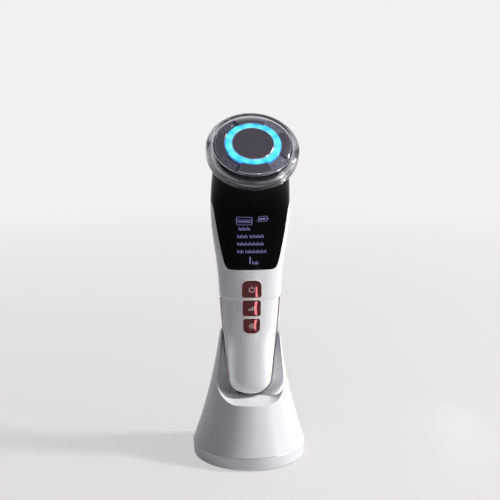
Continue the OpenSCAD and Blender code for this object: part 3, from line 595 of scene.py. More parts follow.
neck_len = 1.05 * float(np.hypot(*(head_point(0, collar_back) - (0, handle_len))))
width_knots = np.array([[0, foot_w / 2], [hold_at, hold_w / 2], [waist_at, waist_w / 2],
                        [neck_at, neck_w / 2], [handle_len + neck_len, ring_r]])


def half_w(s):
    """Half width: a cubic through the knots, with each slope taken from the knot's two neighbours."""
    x, y = width_knots.T
    slope = np.gradient(y, x, edge_order=1)
    slope[1:-1] = (y[2:] - y[:-2]) / (x[2:] - x[:-2])
    i = np.clip(np.searchsorted(x, s) - 1, 0, len(x) - 2)
    h = x[i + 1] - x[i]
    t = np.clip((s - x[i]) / h, 0, 1)
    return ((2 * t**3 - 3 * t**2 + 1) * y[i] + (t**3 - 2 * t**2 + t) * h * slope[i]
            + (3 * t**2 - 2 * t**3) * y[i + 1] + (t**3 - t**2) * h * slope[i + 1])


def half_t(s):
    """Half thickness: it grows evenly up the handle and then stays."""
    return foot_t / 2 + (top_t - foot_t) / 2 * np.minimum(s / handle_len, 1)


def foot_cut(s, w, e):
    """Share of the foot's quarter circle that is still missing at height s."""
    q = np.clip((s - w - e) / (foot_r - w - e), 0, 1)
    return 1 - np.sqrt(np.maximum(1 - (1 - q) ** 2, 0))


def side_w(s, w, e):
    """Half width of a shell w inside the skin and drawn in by e, with the foot's round corner."""
    return half_w(s) - w - e - (foot_r - w - e) * foot_cut(s, w, e)


def side_t(s, w, e):
    """Half thickness of a shell at its front and back points, with the foot's smaller round."""
    return half_t(s) - w - (foot_side_r - w) * foot_cut(s, w, e)


# %% The skin
def signed_power(v, p):
    """Power of the size of v, with the sign of v: superellipses need it."""
    return np.sign(v) * np.abs(v) ** p


def edge_point(s, w, e, side, reach, grip):
    """Front (side -1) or back (side 1) point of the section: straight up the handle, then a Bezier curve."""
    y, u = side * side_t(s, w, e), np.clip((s - handle_len) / neck_len, 0, 1)
    end = head_point(side * (ring_r - w), collar_back)
    tilt = math.radians(face_tilt)
    pull = end + grip * np.array([math.sin(tilt), -math.cos(tilt)])
    a = [(1 - u) ** 3, 3 * u * (1 - u) ** 2, 3 * u**2 * (1 - u), u**3]
    rise = np.minimum(s, handle_len)
    return np.stack([a[0] * y + a[1] * y + a[2] * pull[0] + a[3] * end[0],
                     a[0] * rise + a[1] * (rise + reach) + a[2] * pull[1] + a[3] * end[1]], -1)


def skin_point(s, t, w=0.0, e=0.0):
    """Point of the skin at height s and angle t in degrees: 0 is +x, 90 the back, 270 the front."""
    s, t = np.broadcast_arrays(np.asarray(s, float), np.radians(t))
    front, back = edge_point(s, w, e, -1, 9, 9), edge_point(s, w, e, 1, 22, 16)
    middle, half = (front + back) / 2, (back - front) / 2
    n = section_n + (2 - section_n) * np.clip((s - handle_len) / neck_len, 0, 1)
    k = signed_power(np.sin(t), 2 / n)
    return np.stack([side_w(s, w, e) * signed_power(np.cos(t), 2 / n),
                     middle[..., 0] + half[..., 0] * k, middle[..., 1] + half[..., 1] * k], -1)


print("half width at the waist", round(float(half_w(np.array(float(waist_at)))), 2))

# %% [markdown]
# ## Where the black cover meets the white shells
#
# In front the cover ends in a tongue with round corners, at the sides in a level edge, and behind in a low
# rise. The tongue's sides climb along a logistic curve, which is steep in the middle and flat at both ends.

# %% Edge of the cover
def cover_edge(t):
    """Height of the cover's lower edge at angle t in degrees."""
    t = np.radians(t)
    from_side = np.degrees(np.arccos(np.minimum(np.abs(np.cos(t)), 1)))
    share = 1 / (1 + np.exp((from_side - side_climb) / climb_width))
    front = tongue_at + (side_edge_at - tongue_at) * share
    back = side_edge_at + back_edge_rise * np.maximum(np.sin(t), 0) ** 3
    return np.where(np.sin(t) < 0, front, back)


def even_angles(start, stop, count):
    """Angles from start to stop at which points on the cover's edge are equally far apart."""
    t = np.linspace(start, stop, 2000)
    step = np.linalg.norm(np.diff(skin_point(cover_edge(t), t), axis=0), axis=1)
    along = np.concatenate([[0], np.cumsum(step)])
    return np.interp(np.linspace(0, along[-1], count), along, t)


print("tongue at", tongue_at, "sides at", side_edge_at)

# %% [markdown]
# ## White half shells
#
# The handle is two moulded halves, glued along the sides. Beside the metal band they are drawn in by
# 0.9 mm. A half shell is its outer skin, its inner skin 1.8 mm below, and the strips that join them. The
# key openings are then cut by a Boolean, because the keys travel and need a real gap.

# %% Rows of a half shell
def inset_at(s):
    """How far the shells are drawn in: band_step beside the band, and nothing 1.2 mm above its end."""
    return band_step * np.clip(band_top + 1.2 - s, 0, 1)


def seam_angle(s, w):
    """Angle from the side at which a shell starts beside the band."""
    with np.errstate(invalid="ignore"):
        beside = np.degrees(np.arcsin((band_depth / 2 / side_t(s, w, band_step)) ** (section_n / 2)))
    return np.where(s > band_top + 0.25, 0.0, beside)


def shell_heights(edge, w):
    """Heights of the rows of each column: close together at the foot and at the band's end."""
    around_foot = band_step + w + (foot_r - band_step - w) * (1 - np.cos(np.radians(np.linspace(0, 90, 14))))
    handle = np.linspace(foot_r, band_top - 1, 36)[1:]
    at_band_end = band_top + np.array([-0.4, 0.2, 0.3, 0.6, 0.9, 1.2, 2.5])
    upper = band_top + 4 + (edge[None, :] - band_top - 4) * np.linspace(0, 1, 44)[:, None]
    fixed = np.concatenate([around_foot, handle, at_band_end])
    return np.concatenate([np.repeat(fixed[:, None], len(edge), 1), upper])


def half_shell(side, w, columns):
    """One skin of a half shell, with rows that close the foot along the middle line."""
    first = 0 if side > 0 else 180
    share = (columns - first) / 180
    s = shell_heights(cover_edge(columns), w)
    m = seam_angle(s, w)
    points = skin_point(s, first + m + (180 - 2 * m) * share, w, inset_at(s))
    middle = points[0].copy()
    middle[:, 1] = points[0, 0, 1]
    foot = middle + (points[0] - middle) * np.array([0.0, 0.25, 0.5, 0.75])[:, None, None]
    return np.concatenate([foot, points])


def shell(name, side, count):
    """Half shell in count columns: outer skin, inner skin, and strips along both side edges."""
    first = 0 if side > 0 else 180
    columns = even_angles(first + 1e-4, first + 180 - 1e-4, count)
    outer, inner = half_shell(side, 0.0, columns), half_shell(side, shell_wall, columns)
    loop = np.concatenate([outer, inner[::-1]])
    ends = [np.stack([outer[:, k], inner[:, k]]) for k in (0, -1)]
    return build(name, (in_stand(loop), True, False), *((in_stand(e), False, False) for e in ends))


# %% Front shell with its key openings
key_tops = [tongue_at - key_below_tongue]
for height in key_heights[:2]:
    key_tops.append(key_tops[-1] - height - key_gap)
key_mids = [top - height / 2 for top, height in zip(key_tops, key_heights)]
big_corner, small_corner = 3.0, 1.1


def key_outline(i, grow=0.0):
    """Outline of key i round its own middle: the upper and the lower key have two large corners each."""
    r_up, r_low = big_corner if i == 0 else small_corner, big_corner if i == 2 else small_corner
    return soft_outline(key_widths[i] + 2 * grow, key_heights[i] + 2 * grow, r_up + grow, r_low + grow)


front_shell = shell("front_shell_skin", -1, 150)
soften(front_shell, 0.18)
cut_front, cut_back = -16, -7.2
openings = [prism("key opening", key_outline(i, key_clear) + (0, mid), cut_front, cut_back)
            for i, mid in enumerate(key_mids)]
carve(front_shell, [move_points(opening, in_stand) for opening in openings])
dress(front_shell, "handset", "white_shell", white_shell, "front_shell")

# %% Rear shell with the holes of its charging contacts
rear_shell = shell("rear_shell_skin", 1, 110)
soften(rear_shell, 0.18)
hole = [(0, -1), (contact_hole_r, -1), (contact_hole_r, 5), (0, 5)]
carve(rear_shell, [build("contact hole", (in_stand(turned_grid(hole, 32) + (x, contact_y, 0)), False, True))
                   for x in (-contact_x, contact_x)])
dress(rear_shell, "handset", "white_shell", white_shell, "rear_shell")

# %% [markdown]
# ## Polished side band
#
# The band is a flat metal strip that is bent round the foot. It could be a curve with a bevel, but a
# profile carried along the handle's own outline fits the shells exactly. The profile is 5 by 1.7 mm with
# round edges, and the path is the skin's side at the profile's own depth.

# %% Band along the handle's outline
def capped(grid):
    """The grid with one more row at each end, gathered in the middle of the end row, which closes the end."""
    ends = [np.broadcast_to(grid[k].mean(0), grid[k].shape)[None] for k in (0, -1)]
    return np.concatenate([ends[0], grid, ends[1]])


def band_path(w):
    """Outline of the handle w inside the skin, from the right end round the foot to the left end."""
    handle = np.linspace(band_top, foot_r, 50)
    corner = w + (foot_r - w) * (1 - np.cos(np.radians(np.linspace(90, 0, 22)[1:])))
    s = np.concatenate([handle, corner])
    x = side_w(s, w, 0.0)
    flat = np.linspace(x[-1], 0, 5)[1:]
    half = np.column_stack([np.concatenate([x, flat]), np.concatenate([s, np.full(4, w)])])
    return np.concatenate([half, (half * (-1, 1))[-2::-1]])


band_section = soft_outline(band_wall - 0.02, band_depth - 0.02, 0.8, 0.8, 8) + (band_wall / 2, 0)
paths = np.stack([band_path(w) for w in band_section[:, 0]], 1)
band = np.stack([paths[..., 0], np.broadcast_to(band_section[:, 1], paths.shape[:2]), paths[..., 1]], -1)
side_band = build("side_band_strip", (in_stand(capped(band)), False, True))
dress(side_band, "handset", "chrome_band", band_metal, "side_band")

# %% [markdown]
# ## Gloss black neck
#
# The cover is one sleeve with the tongue in front. Its rows run from the edge up to the head's ring, and
# its columns are equally spaced along the edge, so that the tongue's corners stay round.

# %% Neck cover, collar and seal
cover_angles = np.concatenate([even_angles(0, 180, 90)[:-1], even_angles(180, 360, 150)[:-1]])


def cover_skin(w):
    """Rows of the sleeve, w inside the skin, from the cover's edge up to the head's ring."""
    edge = cover_edge(cover_angles)
    up = np.linspace(0, 1, 90)[:, None]
    return skin_point(edge + (handle_len + neck_len - edge) * up, cover_angles, w)


sleeve = np.concatenate([cover_skin(0), cover_skin(shell_wall)[::-1]])
neck = build("neck_cover_sleeve", (in_stand(sleeve), True, True))
soften(neck, 0.15)
dress(neck, "handset", "gloss_black", gloss_black, "neck_cover")

low, high = -collar_back, -collar_back + collar_t
collar = turned_on_head("neck_collar_ring", [
    (collar_hole_r, low), (ring_r - 0.1, low), (ring_r + 0.1, low + 0.1), (collar_r - 0.2, high - 0.25),
    (collar_r, high - 0.1), (collar_r - 0.1, high), (collar_hole_r, high)])
dress(collar, "handset", "gloss_black", gloss_black, "neck_collar")

lens_in_r = head_r - lens_side_wall
seal_edge = arc(collar_r - 0.3, -head_depth - seal_t / 2, seal_t / 2, -90, 90, 7)
seal = turned_on_head("head_seal_ring",
                      [(lens_in_r, -head_depth - seal_t)] + seal_edge + [(lens_in_r, -head_depth)])
dress(seal, "handset", "rubber", rubber, "head_seal")

# %% [markdown]
# ## Clear head
#
# The drum is turned. Its face falls away from the glowing ring like a very flat cone, its rim stands up
# outside the face in a round bead, and its side draws in to the neck. The inner wall is modelled too, with
# the two fine grooves that locate the inner parts, since the light bends at each of these surfaces.

# %% Face of the head
lens_hole_r = plate_d / 2 + glow_w + 0.05
lens_face = -arc_t - arc_drop
fall = math.radians(face_fall)
wall_z = lens_wall / math.cos(fall)
rim_from = 105
face_out_r = head_r - rim_r * (1 - math.cos(math.radians(rim_from)))


def face_at(r):
    """Height of the clear face at radius r: it falls away outside the glowing ring."""
    return lens_face - (r - lens_hole_r) * math.tan(fall)


rim_mid_z = face_at(face_out_r) - 1.7
print("face falls from", round(lens_face, 2), "to", round(face_at(face_out_r), 2))

# %% Clear drum
inner_r, side_top, side_turn = lens_in_r - 2, rim_mid_z - 1.6, 86
inner_z = face_at(inner_r) - wall_z - 2 / math.cos(fall)
groove = ((0, 0.3), (0.45, 0.2), (0.45, -0.2), (0, -0.3))
grooves = [(lens_in_r + d, z + h) for z in (-7.7, -9.2) for d, h in groove]
drum_profile = (
    [(lens_hole_r + 0.15, face_at(lens_hole_r + 0.15)), (lens_hole_r, lens_face - 0.15),
     (lens_hole_r, lens_face - wall_z)]
    + arc(inner_r, inner_z, 2, 90 - face_fall, 0, 12) + grooves + [(lens_in_r, 0.2 - head_depth)]
    + [(lens_in_r + 0.2, -head_depth), (head_r - lens_taper - 0.3, -head_depth)]
    + [(head_r - lens_taper * (1 - math.cos(a)), side_top - (head_depth + side_top) * math.sin(a))
       for a in np.radians(np.linspace(side_turn, 0, 14))]
    + arc(head_r - rim_r, rim_mid_z, rim_r, 0, rim_from, 26) + [(face_out_r, face_at(face_out_r))])
drum = turned_on_head("head_drum", drum_profile, 200, sharp=30)
dress(drum, "handset", "clear_head", clear_head, "head_shell")

# %% Dark face behind the electrodes
mask_out = face_out_r - 0.1
mask = turned_on_head("face_mask_ring", (
    [(lens_hole_r + 0.2, face_at(lens_hole_r + 0.2) + 0.01)]
    + [(r, face_at(r) + 0.1) for r in np.linspace(lens_hole_r + 0.3, mask_out - 0.3, 12)]
    + [(mask_out - 0.08, face_at(mask_out) + 0.08), (mask_out, face_at(mask_out) + 0.01)]), 200)
dress(mask, "handset", "satin_steel", face_mask)

# %% [markdown]
# ## Electrodes and ring
#
# The middle plate is turned with a fine round edge, which catches the light as a thin line. The curved
# electrodes are rounded bars that lie on the sloping face. The glowing ring fills the step between them,
# and steps in a little beside each electrode, so that it looks wider in the four gaps.

# %% Middle plate and glowing ring
plate_r, bevel, stem_r = plate_d / 2, 0.5, 1.6
plate = turned_on_head("middle_plate_disc", (
    [(0, 0), (plate_r * 0.5, 0), (plate_r - bevel - 0.25, 0)] + arc(plate_r - bevel, -bevel, bevel, 90, 0, 9)
    + [(plate_r, -plate_t), (stem_r, -plate_t), (stem_r, board_top), (0, board_top)]), 200, ring=False)
dress(plate, "handset", "satin_steel", satin_steel, "middle_plate")

glow_top, glow_r = -0.5, plate_r + glow_w
arc_in_r = glow_r + 0.2
arc_mid_r = arc_in_r + arc_w / 2
flange_r, ring_hole_r = arc_mid_r - 1, stem_r + 0.1
flange_top = face_at(flange_r) - wall_z - 0.01
flange_low = flange_top - 0.9
ring_grid = turned_grid(
    [(flange_r, flange_top), (glow_r, flange_top)] + arc(glow_r - 0.4, glow_top - 0.4, 0.4, 0, 90, 8)
    + [(r, glow_top + 0.1 * math.sin(math.pi * (r - plate_r) / glow_w))
       for r in np.linspace(glow_r - 0.6, plate_r + 0.1, 12)]
    + [(plate_r + 0.1, -plate_t), (ring_hole_r, -plate_t), (ring_hole_r, flange_low),
       (flange_r, flange_low)], 360)

# %% Ring stepped in beside the electrodes
overlap_side, overlap_mid, ramp = 0.3, 0.7, 1.5


def stepped_in(grid):
    """The grid with its outer rim drawn inwards where an electrode lies, over a ramp of 1.5 degrees."""
    x, y, z = np.moveaxis(grid, -1, 0)
    from_arc = np.abs((np.degrees(np.arctan2(y, x)) + 45) % 90 - 45)
    beside = np.clip((arc_span / 2 + ramp - from_arc) / ramp, 0, 1)
    r = np.hypot(x, y)
    rim = np.clip((r - glow_r + 1.6) / 1.0, 0, 1) * (z > flange_top - 0.1) * (r < glow_r + 0.1)
    overlap = np.where(np.abs(y) > np.abs(x), overlap_mid, overlap_side)
    share = 1 - overlap * beside * rim / r
    return grid * np.stack([share, share, np.ones_like(z)], -1)


ring = build("glow_ring_light", (on_head(stepped_in(ring_grid)), True, True))
dress(ring, "handset", "diffuser", diffuser, "glow_ring")

# %% Curved electrodes
def curved_bar(middle_deg, overlap):
    """Rounded bar on an arc round the head's axis, tilted with the face; its ends close in a small round."""
    outline = soft_outline(arc_w + overlap - 0.1, arc_t - 0.1, 0.5, 0.1, 6) - ((overlap - 0.1) / 2, 0)
    end = 0.6 * (1 - np.cos(np.radians(np.linspace(0, 90, 6))))
    half, rows = arc_span / 2, 40
    steps = np.concatenate([end - half, np.linspace(1.5 - half, half - 1.5, rows), (half - end)[::-1]])
    shrink = np.array([0, 0.9, 1, 1, 1, 1])
    scale = np.concatenate([shrink, np.ones(rows), shrink[::-1]])
    a = np.radians(middle_deg + steps)[:, None]
    r = arc_mid_r + outline[None, :, 0] * scale[:, None]
    z = face_at(r) + 0.1 + (arc_t - 0.1) / 2 + outline[None, :, 1] * scale[:, None]
    return np.stack([r * np.cos(a), r * np.sin(a), z], -1)


def round_the_head(form, r, degrees, lift=0.0):
    """The form moved out to radius r at that angle on the head, and up by lift."""
    return form + (r * math.cos(math.radians(degrees)), r * math.sin(math.radians(degrees)), lift)


pin_top = face_at(arc_mid_r) + 0.4
pin = turned_grid([(0, board_top), (0.8, board_top), (0.8, pin_top), (0, pin_top)], 16)
for name, angle, overlap in (("right", 0, overlap_side), ("top", 90, overlap_mid),
                             ("left", 180, overlap_side), ("bottom", 270, overlap_mid)):
    forms = [curved_bar(angle, overlap)] + [round_the_head(pin, arc_mid_r, angle + b) for b in (-12, 12)]
    electrode = build("arc_electrode_" + name, *((on_head(form), False, True) for form in forms))
    dress(electrode, "handset", "satin_steel", satin_steel, "arc_plate_" + name)

# %% Small dots between the curved electrodes
dot_at = lens_hole_r + 2.7
dot = turned_grid([(0, 0), (dot_r, 0), (dot_r, 0.27)] + arc(0, 0.25, dot_r, 10, 90, 6, 0.45), 20)
dots = [round_the_head(dot, dot_at, gap_middle + b, face_at(dot_at) + 0.05)
        for gap_middle in (45, 135, 225, 315) for b in (-8, 8)]
rim_dots = build("rim_dot_domes", *((on_head(d), False, True) for d in dots))
dress(rim_dots, "handset", "satin_steel", screw_steel, "rim_dots")

# %% [markdown]
# ## Keys
#
# Each key is a mirror-like cap, and a pale thin rim on the handle frames its opening. Both follow the
# handle's curved front, so their points are found in x and height first and then set on the skin at a given
# lift. The key's outline is drawn inwards step by step, which gives its edge and its faintly domed face. A
# very small lean of the face sets where its streak of light lies.

# %% Points on the front of the handset
def on_front(x, s, lift):
    """Point at x and height s on the front skin, moved out by lift along the skin's normal."""
    x, s, lift = np.broadcast_arrays(*(np.asarray(v, float) for v in (x, s, lift)))

    def at(x, s):
        n = section_n + (2 - section_n) * np.clip((s - handle_len) / neck_len, 0, 1)
        inset = inset_at(s)
        share = signed_power(np.clip(x / side_w(s, 0.0, inset), -1, 1), n / 2)
        return skin_point(s, 360 - np.degrees(np.arccos(share)), 0.0, inset)

    d = 0.05
    across = at(x + d, s) - at(x - d, s)
    upwards = at(x, s + d) - at(x, s - d)
    normal = np.cross(across, upwards)
    normal /= np.linalg.norm(normal, axis=-1, keepdims=True)
    return at(x, s) + normal * lift[..., None]


print("front of the handle at 60 mm", on_front(0, 60, 0).round(2))

# %% Outline, face and back of a key
def outwards(path):
    """Direction away from a closed path at each point: the tangent turned by 90 degrees."""
    along = np.roll(path, -1, 0) - np.roll(path, 1, 0)
    return np.column_stack([along[:, 1], -along[:, 0]]) / np.linalg.norm(along, axis=1)[:, None]


def lifted(path, mid, lift):
    """Points of an outline round a key's middle, set on the handle's front skin at a lift."""
    return on_front(path[:, 0], path[:, 1] + mid, lift)


def key_face(border, mid, lean_share):
    """Rows of the domed face, from its border to its middle: the dome is a product of two parabolas."""
    rows, reach = [], border.max(0)
    for share in np.linspace(1, 0, 13):
        p = border * share
        dome = np.prod(1 - (p / reach) ** 2, axis=1)
        rows.append(lifted(p, mid, 0.16 + 0.08 * dome + lean_share * p[:, 0] * dome))
    return rows


def key_back(outline, away, border, mid):
    """Rows below the face: the cap's wall, the flange behind the shell and the nib that works the switch."""
    angle = np.arctan2(border[:, 1], border[:, 0])
    wall, flange = outline - away * 0.1, outline + away * 0.7
    nib = nib_r * np.column_stack([np.cos(angle), np.sin(angle)])
    front_y = -float(half_t(mid))
    flange_y = front_y + shell_wall + 0.65
    steps = ((wall, front_y + 0.4), (wall, flange_y), (flange, flange_y), (flange, flange_y + 0.8),
             (nib, flange_y + 0.8), (nib, nib_end), (nib * 0, nib_end))
    return [np.column_stack([p[:, 0], np.full(len(p), y), p[:, 1] + mid]) for p, y in steps]


# %% Three keys and their rims
key_bodies = ("key_upper", "key_middle", "key_lower")
key_nodes = ("upper_key", "middle_key", "lower_key")
face_leans = (0.03, 0.0, -0.006)
rim_steps = ((0.17, -0.5), (0.17, 0.03), (0.22, 0.09), (0.32, 0.12), (0.48, 0.11), (0.6, 0.05), (0.68, -0.05),
             (0.68, -0.5))
edge_steps = ((0, -0.3), (0, 0.05), (0.05, 0.12), (0.15, 0.15))

for i, (body, node, mid) in enumerate(zip(key_bodies, key_nodes, key_mids)):
    outline = dense(key_outline(i))
    away = outwards(outline)
    rim_rows = [lifted(outline + away * d, mid, h) for d, h in rim_steps]
    rim = build(node + "_rim", (in_stand(np.stack(rim_rows)), True, True))
    dress(rim, "handset", "rose_gold", key_rim)
    border = outline - away * 0.3
    face = [lifted(outline - away * d, mid, h) for d, h in edge_steps] + key_face(border, mid, face_leans[i])
    back = key_back(outline, away, border, mid)
    cap = build(node + "_cap", (in_stand(np.stack(face[::-1] + back)), False, True))
    dress(cap, body, "rose_gold", rose_gold, node)

# %% [markdown]
# ## Symbols
#
# The keys carry plain symbols for power, level and light. The display shows plain bars, a cell symbol and
# a numeral. Each stroke is a thin raised strip: a path in x and height, widened to both sides and set on
# the skin. Flat textures would need picture files, and strips stay sharp at any distance.

# %% Strokes on the front
def stroke(path, width, lift, closed=False, thick=0.05):
    """Strip along a path of (x, s) points, as a grid of four edges round its section."""
    p = np.array(path, float)
    if closed:
        ahead, behind = np.roll(p, -1, 0), np.roll(p, 1, 0)
    else:
        ahead, behind = np.vstack([p[1:], 2 * p[-1] - p[-2]]), np.vstack([2 * p[0] - p[1], p[:-1]])
    along = ahead - behind
    normal = np.column_stack([-along[:, 1], along[:, 0]]) / np.linalg.norm(along, axis=1)[:, None]
    section = ((-1, -0.05), (-0.85, thick), (0.85, thick), (1, -0.05))
    edges = [(p + normal * width / 2 * k, lift + h) for k, h in section]
    grid = np.stack([on_front(q[:, 0], q[:, 1], h) for q, h in edges], 1)
    if not closed:
        grid = capped(grid)
    return in_stand(grid), closed, True


def line(x0, s0, x1, s1, count=8):
    """Straight path from one point to another."""
    return np.column_stack([np.linspace(x0, x1, count), np.linspace(s0, s1, count)])


def round_path(x, s, r, start=0, stop=360, count=28):
    """Circle round a point, or the part of it between two angles in degrees."""
    a = np.radians(np.linspace(start, stop, count, endpoint=stop - start < 360))
    return np.column_stack([x + r * np.cos(a), s + r * np.sin(a)])


# %% Symbols on the keys
face_lift = 0.25
upper_mid, middle_mid, lower_mid = key_mids
power_symbol = build("upper_key_symbol",
                     stroke(round_path(0, upper_mid - 0.1, 1.5, 125, 415), 0.38, face_lift),
                     stroke(line(0, upper_mid + 0.2, 0, upper_mid + 2.0), 0.38, face_lift))
dress(power_symbol, "key_upper", "rose_gold", key_symbol)

foot_s = middle_mid - 1.3
level_symbol = build("middle_key_symbol", *(stroke(line(x, foot_s, x, foot_s + h), 0.55, face_lift)
                                            for x, h in ((-1.5, 0.9), (-0.5, 1.5), (0.5, 2.1), (1.5, 2.7))))
dress(level_symbol, "key_middle", "rose_gold", key_symbol)

beams = [line(1.25 * c, lower_mid + 1.25 * s, 1.85 * c, lower_mid + 1.85 * s)
         for c, s in arc(0, 0, 1, 0, 315, 8)]
light_symbol = build("lower_key_symbol", stroke(round_path(0, lower_mid, 0.75), 0.34, face_lift, True),
                     *(stroke(beam, 0.28, face_lift) for beam in beams))
dress(light_symbol, "key_lower", "rose_gold", key_symbol)

# %% Picture on the display
print_lift, tick_gap = 0.03, 0.758


def level_strip(x0, x1, rise, width, lift=print_lift, thick=0.05):
    """Level strip from x0 to x1, at a rise above the tongue's lower edge."""
    return stroke(line(x0, tongue_at + rise, x1, tongue_at + rise), width, lift, thick=thick)


def frame_of(x0, x1, low, high, r, width):
    """Thin frame with round corners: low and high are rises above the tongue's lower edge."""
    outline = dense(soft_outline(x1 - x0, high - low, r, r, 5))
    return stroke(outline + ((x0 + x1) / 2, tongue_at + (low + high) / 2), width, print_lift, True)


def word(x, rise, ticks):
    """Row of short upright strokes in place of a word: every third one is taller."""
    s, tops = tongue_at + rise, (1.2, 0.55, 0.55)
    return [stroke(line(x + k * tick_gap, s - 0.75, x + k * tick_gap, s + tops[k % 3], 3), 0.34, print_lift)
            for k in range(ticks)]


words = ((-7.30, 28.96, 9), (-7.25, 23.48, 9), (-7.98, 19.16, 8), (-1.12, 19.16, 11), (-7.98, 14.89, 20),
         (-7.98, 10.51, 5), (-3.43, 10.51, 16), (0.45, 4.04, 5))
cell_rise, numeral_x, numeral_at = 31.20, -1.01, tongue_at + 3.71
picture = build("display_picture", frame_of(-8.65, 0.0, 26.03, 32.93, 0.6, 0.3),
                frame_of(3.71, 8.54, 28.96, 33.53, 0.5, 0.28), *(tick for w in words for tick in word(*w)),
                *(level_strip(x0, x1, cell_rise, width)
                  for x0, x1, width in ((8.93, 9.38, 1.2), (4.49, 5.62, 1.6), (6.07, 7.19, 1.6))),
                stroke(line(numeral_x, numeral_at, numeral_x, numeral_at + 3.93), 0.7, print_lift))
dress(picture, "handset", "display_glass", display_light)
fills = build("display_fill", level_strip(-8.48, -0.17, 29.48, 4.3, 0.0, 0.02),
              level_strip(3.88, 8.37, cell_rise, 2.8, 0.0, 0.02))
dress(fills, "handset", "display_glass", display_dim)

# %% [markdown]
# ## Stand
#
# The stand is a flared cone with an arched top, and a niche is cut into its front. The outer form is turned
# and the niche is a stack of rounded outlines. Cutting one from the other gives the crisp rim that the real
# mould has, which a soft subdivision surface would lose.

# %% Outer form of the stand
def stand_r(z):
    """Radius of the flared side: a straight cone less a shallow parabola."""
    f = (z - seam_z) / (stand_h - 4 - seam_z)
    return base_r + (top_d / 2 + 0.45 - base_r) * f - 4 * flare_sag * f * (1 - f)


def flared(name, inset, low, high, turns=240, rows=90):
    """Turned solid inset mm inside the flared side, with a fine chamfer at its foot."""
    z = np.linspace(low, high, rows)
    side = np.column_stack([stand_r(z) - inset, z]).tolist()
    foot_x = side[0][0]
    foot = [(0, low), (foot_x - 0.25, low), (foot_x, low + 0.25)]
    return turned(name, foot + side[1:] + [(0, high)], turns)


arch_half = float(stand_r(arch_z))
arch_outline = np.array([(-40, -5), (40, -5), (40, arch_z), (arch_half, arch_z)]
                        + arc(arch_half - arch_r, arch_z, arch_r, 0, 90, 40)
                        + arc(arch_r - arch_half, arch_z, arch_r, 90, 180, 40)
                        + [(-arch_half, arch_z), (-40, arch_z)])
stand = flared("stand_body", 0, seam_z, stand_h)

# %% Niche
def niche_form():
    """Stack of outlines: a rounded back, straight sides to the front, and a floor that falls forwards."""
    t = np.radians(np.linspace(0, 180, 97))
    side = np.linspace(0, 1, 24)[1:, None]
    a = np.radians(np.linspace(0, 90, 28))
    missing = 1 - np.sin(a)
    corner_z = niche_floor + niche_r * (1 - np.cos(a))
    corner = np.column_stack([corner_z, niche_r * missing, niche_back_r * missing])
    z_up = np.linspace(niche_floor + niche_r, stand_h + 3, 30)[1:]
    upper = np.column_stack([z_up, niche_narrowing * (z_up - niche_floor - niche_r), 0 * z_up])
    levels = []
    for z, cut_side, cut_back in np.concatenate([corner, upper]):
        half, back = niche_w / 2 - cut_side, niche_back - cut_back
        y = axis_y + (z - seat_z) * math.tan(math.radians(lean))
        curve = np.column_stack([half * signed_power(np.cos(t), 2 / niche_n),
                                 y + back * np.sin(t) ** (2 / niche_n), np.full(len(t), z)])
        front = np.array([0, niche_front - y, niche_fall * (niche_front - y)])
        left, right = curve[-1] + side * front, curve[0] + side[::-1] * front
        levels.append(np.concatenate([curve, left, right]))
    levels = np.array(levels)
    centre = lambda level: np.broadcast_to([0, level[0, 1], level[0, 2]], level.shape)[None]
    return np.concatenate([centre(levels[0]), levels, centre(levels[-1])])


niche = build("niche", (niche_form(), False, True))
hollow = flared("hollow", stand_wall, seam_z - 1, hollow_top, 160, 30)
slot_tool = prism("slot", soft_outline(block_w + slip, block_d + slip, 0.4, 0.4, 4), 30, 40)
move_points(slot_tool, lambda p: p[:, [0, 2, 1]])
close_up(slot_tool.data)
carve(stand, [prism("arch", arch_outline, -50, 50)], "INTERSECT")
carve(stand, [niche, hollow, slot_tool])
smooth(stand.data, 28)
dress(stand, "stand", "white_shell", stand_white, "stand_shell")

# %% [markdown]
# ## Base, pad and socket
#
# The base closes the stand from below. Its rounded lower edge and the fine seam above it are what shows. A
# real opening for the charging socket is cut at the back. The rubber pad has fine rings for grip.

# %% Base with the socket's opening
edge_r, out_r, in_r, base_low, base_high = 1.2, base_r - 0.1, base_r - base_ring_wall, 0.6, seam_z - 0.1
base_profile = ([(0, pad_t), (pad_r + 0.2, pad_t), (pad_r + 0.2, base_low), (base_r - 0.3 - edge_r, base_low)]
                + arc(base_r - 0.3 - edge_r, base_low + edge_r, edge_r, -90, 0, 9)
                + [(out_r, seam_z - 2.5), (out_r, base_high - 0.25), (out_r - 0.25, base_high),
                   (in_r, base_high), (in_r, floor_top), (0, floor_top)])
base = turned("stand_base_cap", base_profile, 240)
usb_opening = soft_outline(usb_w + 0.6, usb_h + 0.6, 1.9, 1.9, 10) + (0, usb_z)
carve(base, [prism("usb opening", usb_opening, 24, 40)])
dress(base, "stand", "white_shell", stand_white, "stand_base")

# %% Rubber pad with its grip rings
grip_ring = ((0, 0), (0.15, 0.15), (0.55, 0.15), (0.7, 0))
pad_profile = ([(0, 0)] + [(r + d, h) for r in np.arange(4, pad_r - 1.4, 1.5) for d, h in grip_ring]
               + [(pad_r - 0.2, 0), (pad_r, 0.2), (pad_r, pad_t), (0, pad_t)])
pad = turned("rubber_pad_disc", pad_profile)
dress(pad, "stand", "rubber", rubber, "rubber_pad")

# %% [markdown]
# ## Finishes for the remaining CAD nodes
#
# The inner parts keep their CAD shapes. They get finishes of their own, because they show through the clear
# head, in the niche when the handset is lifted, and when the model is taken apart.

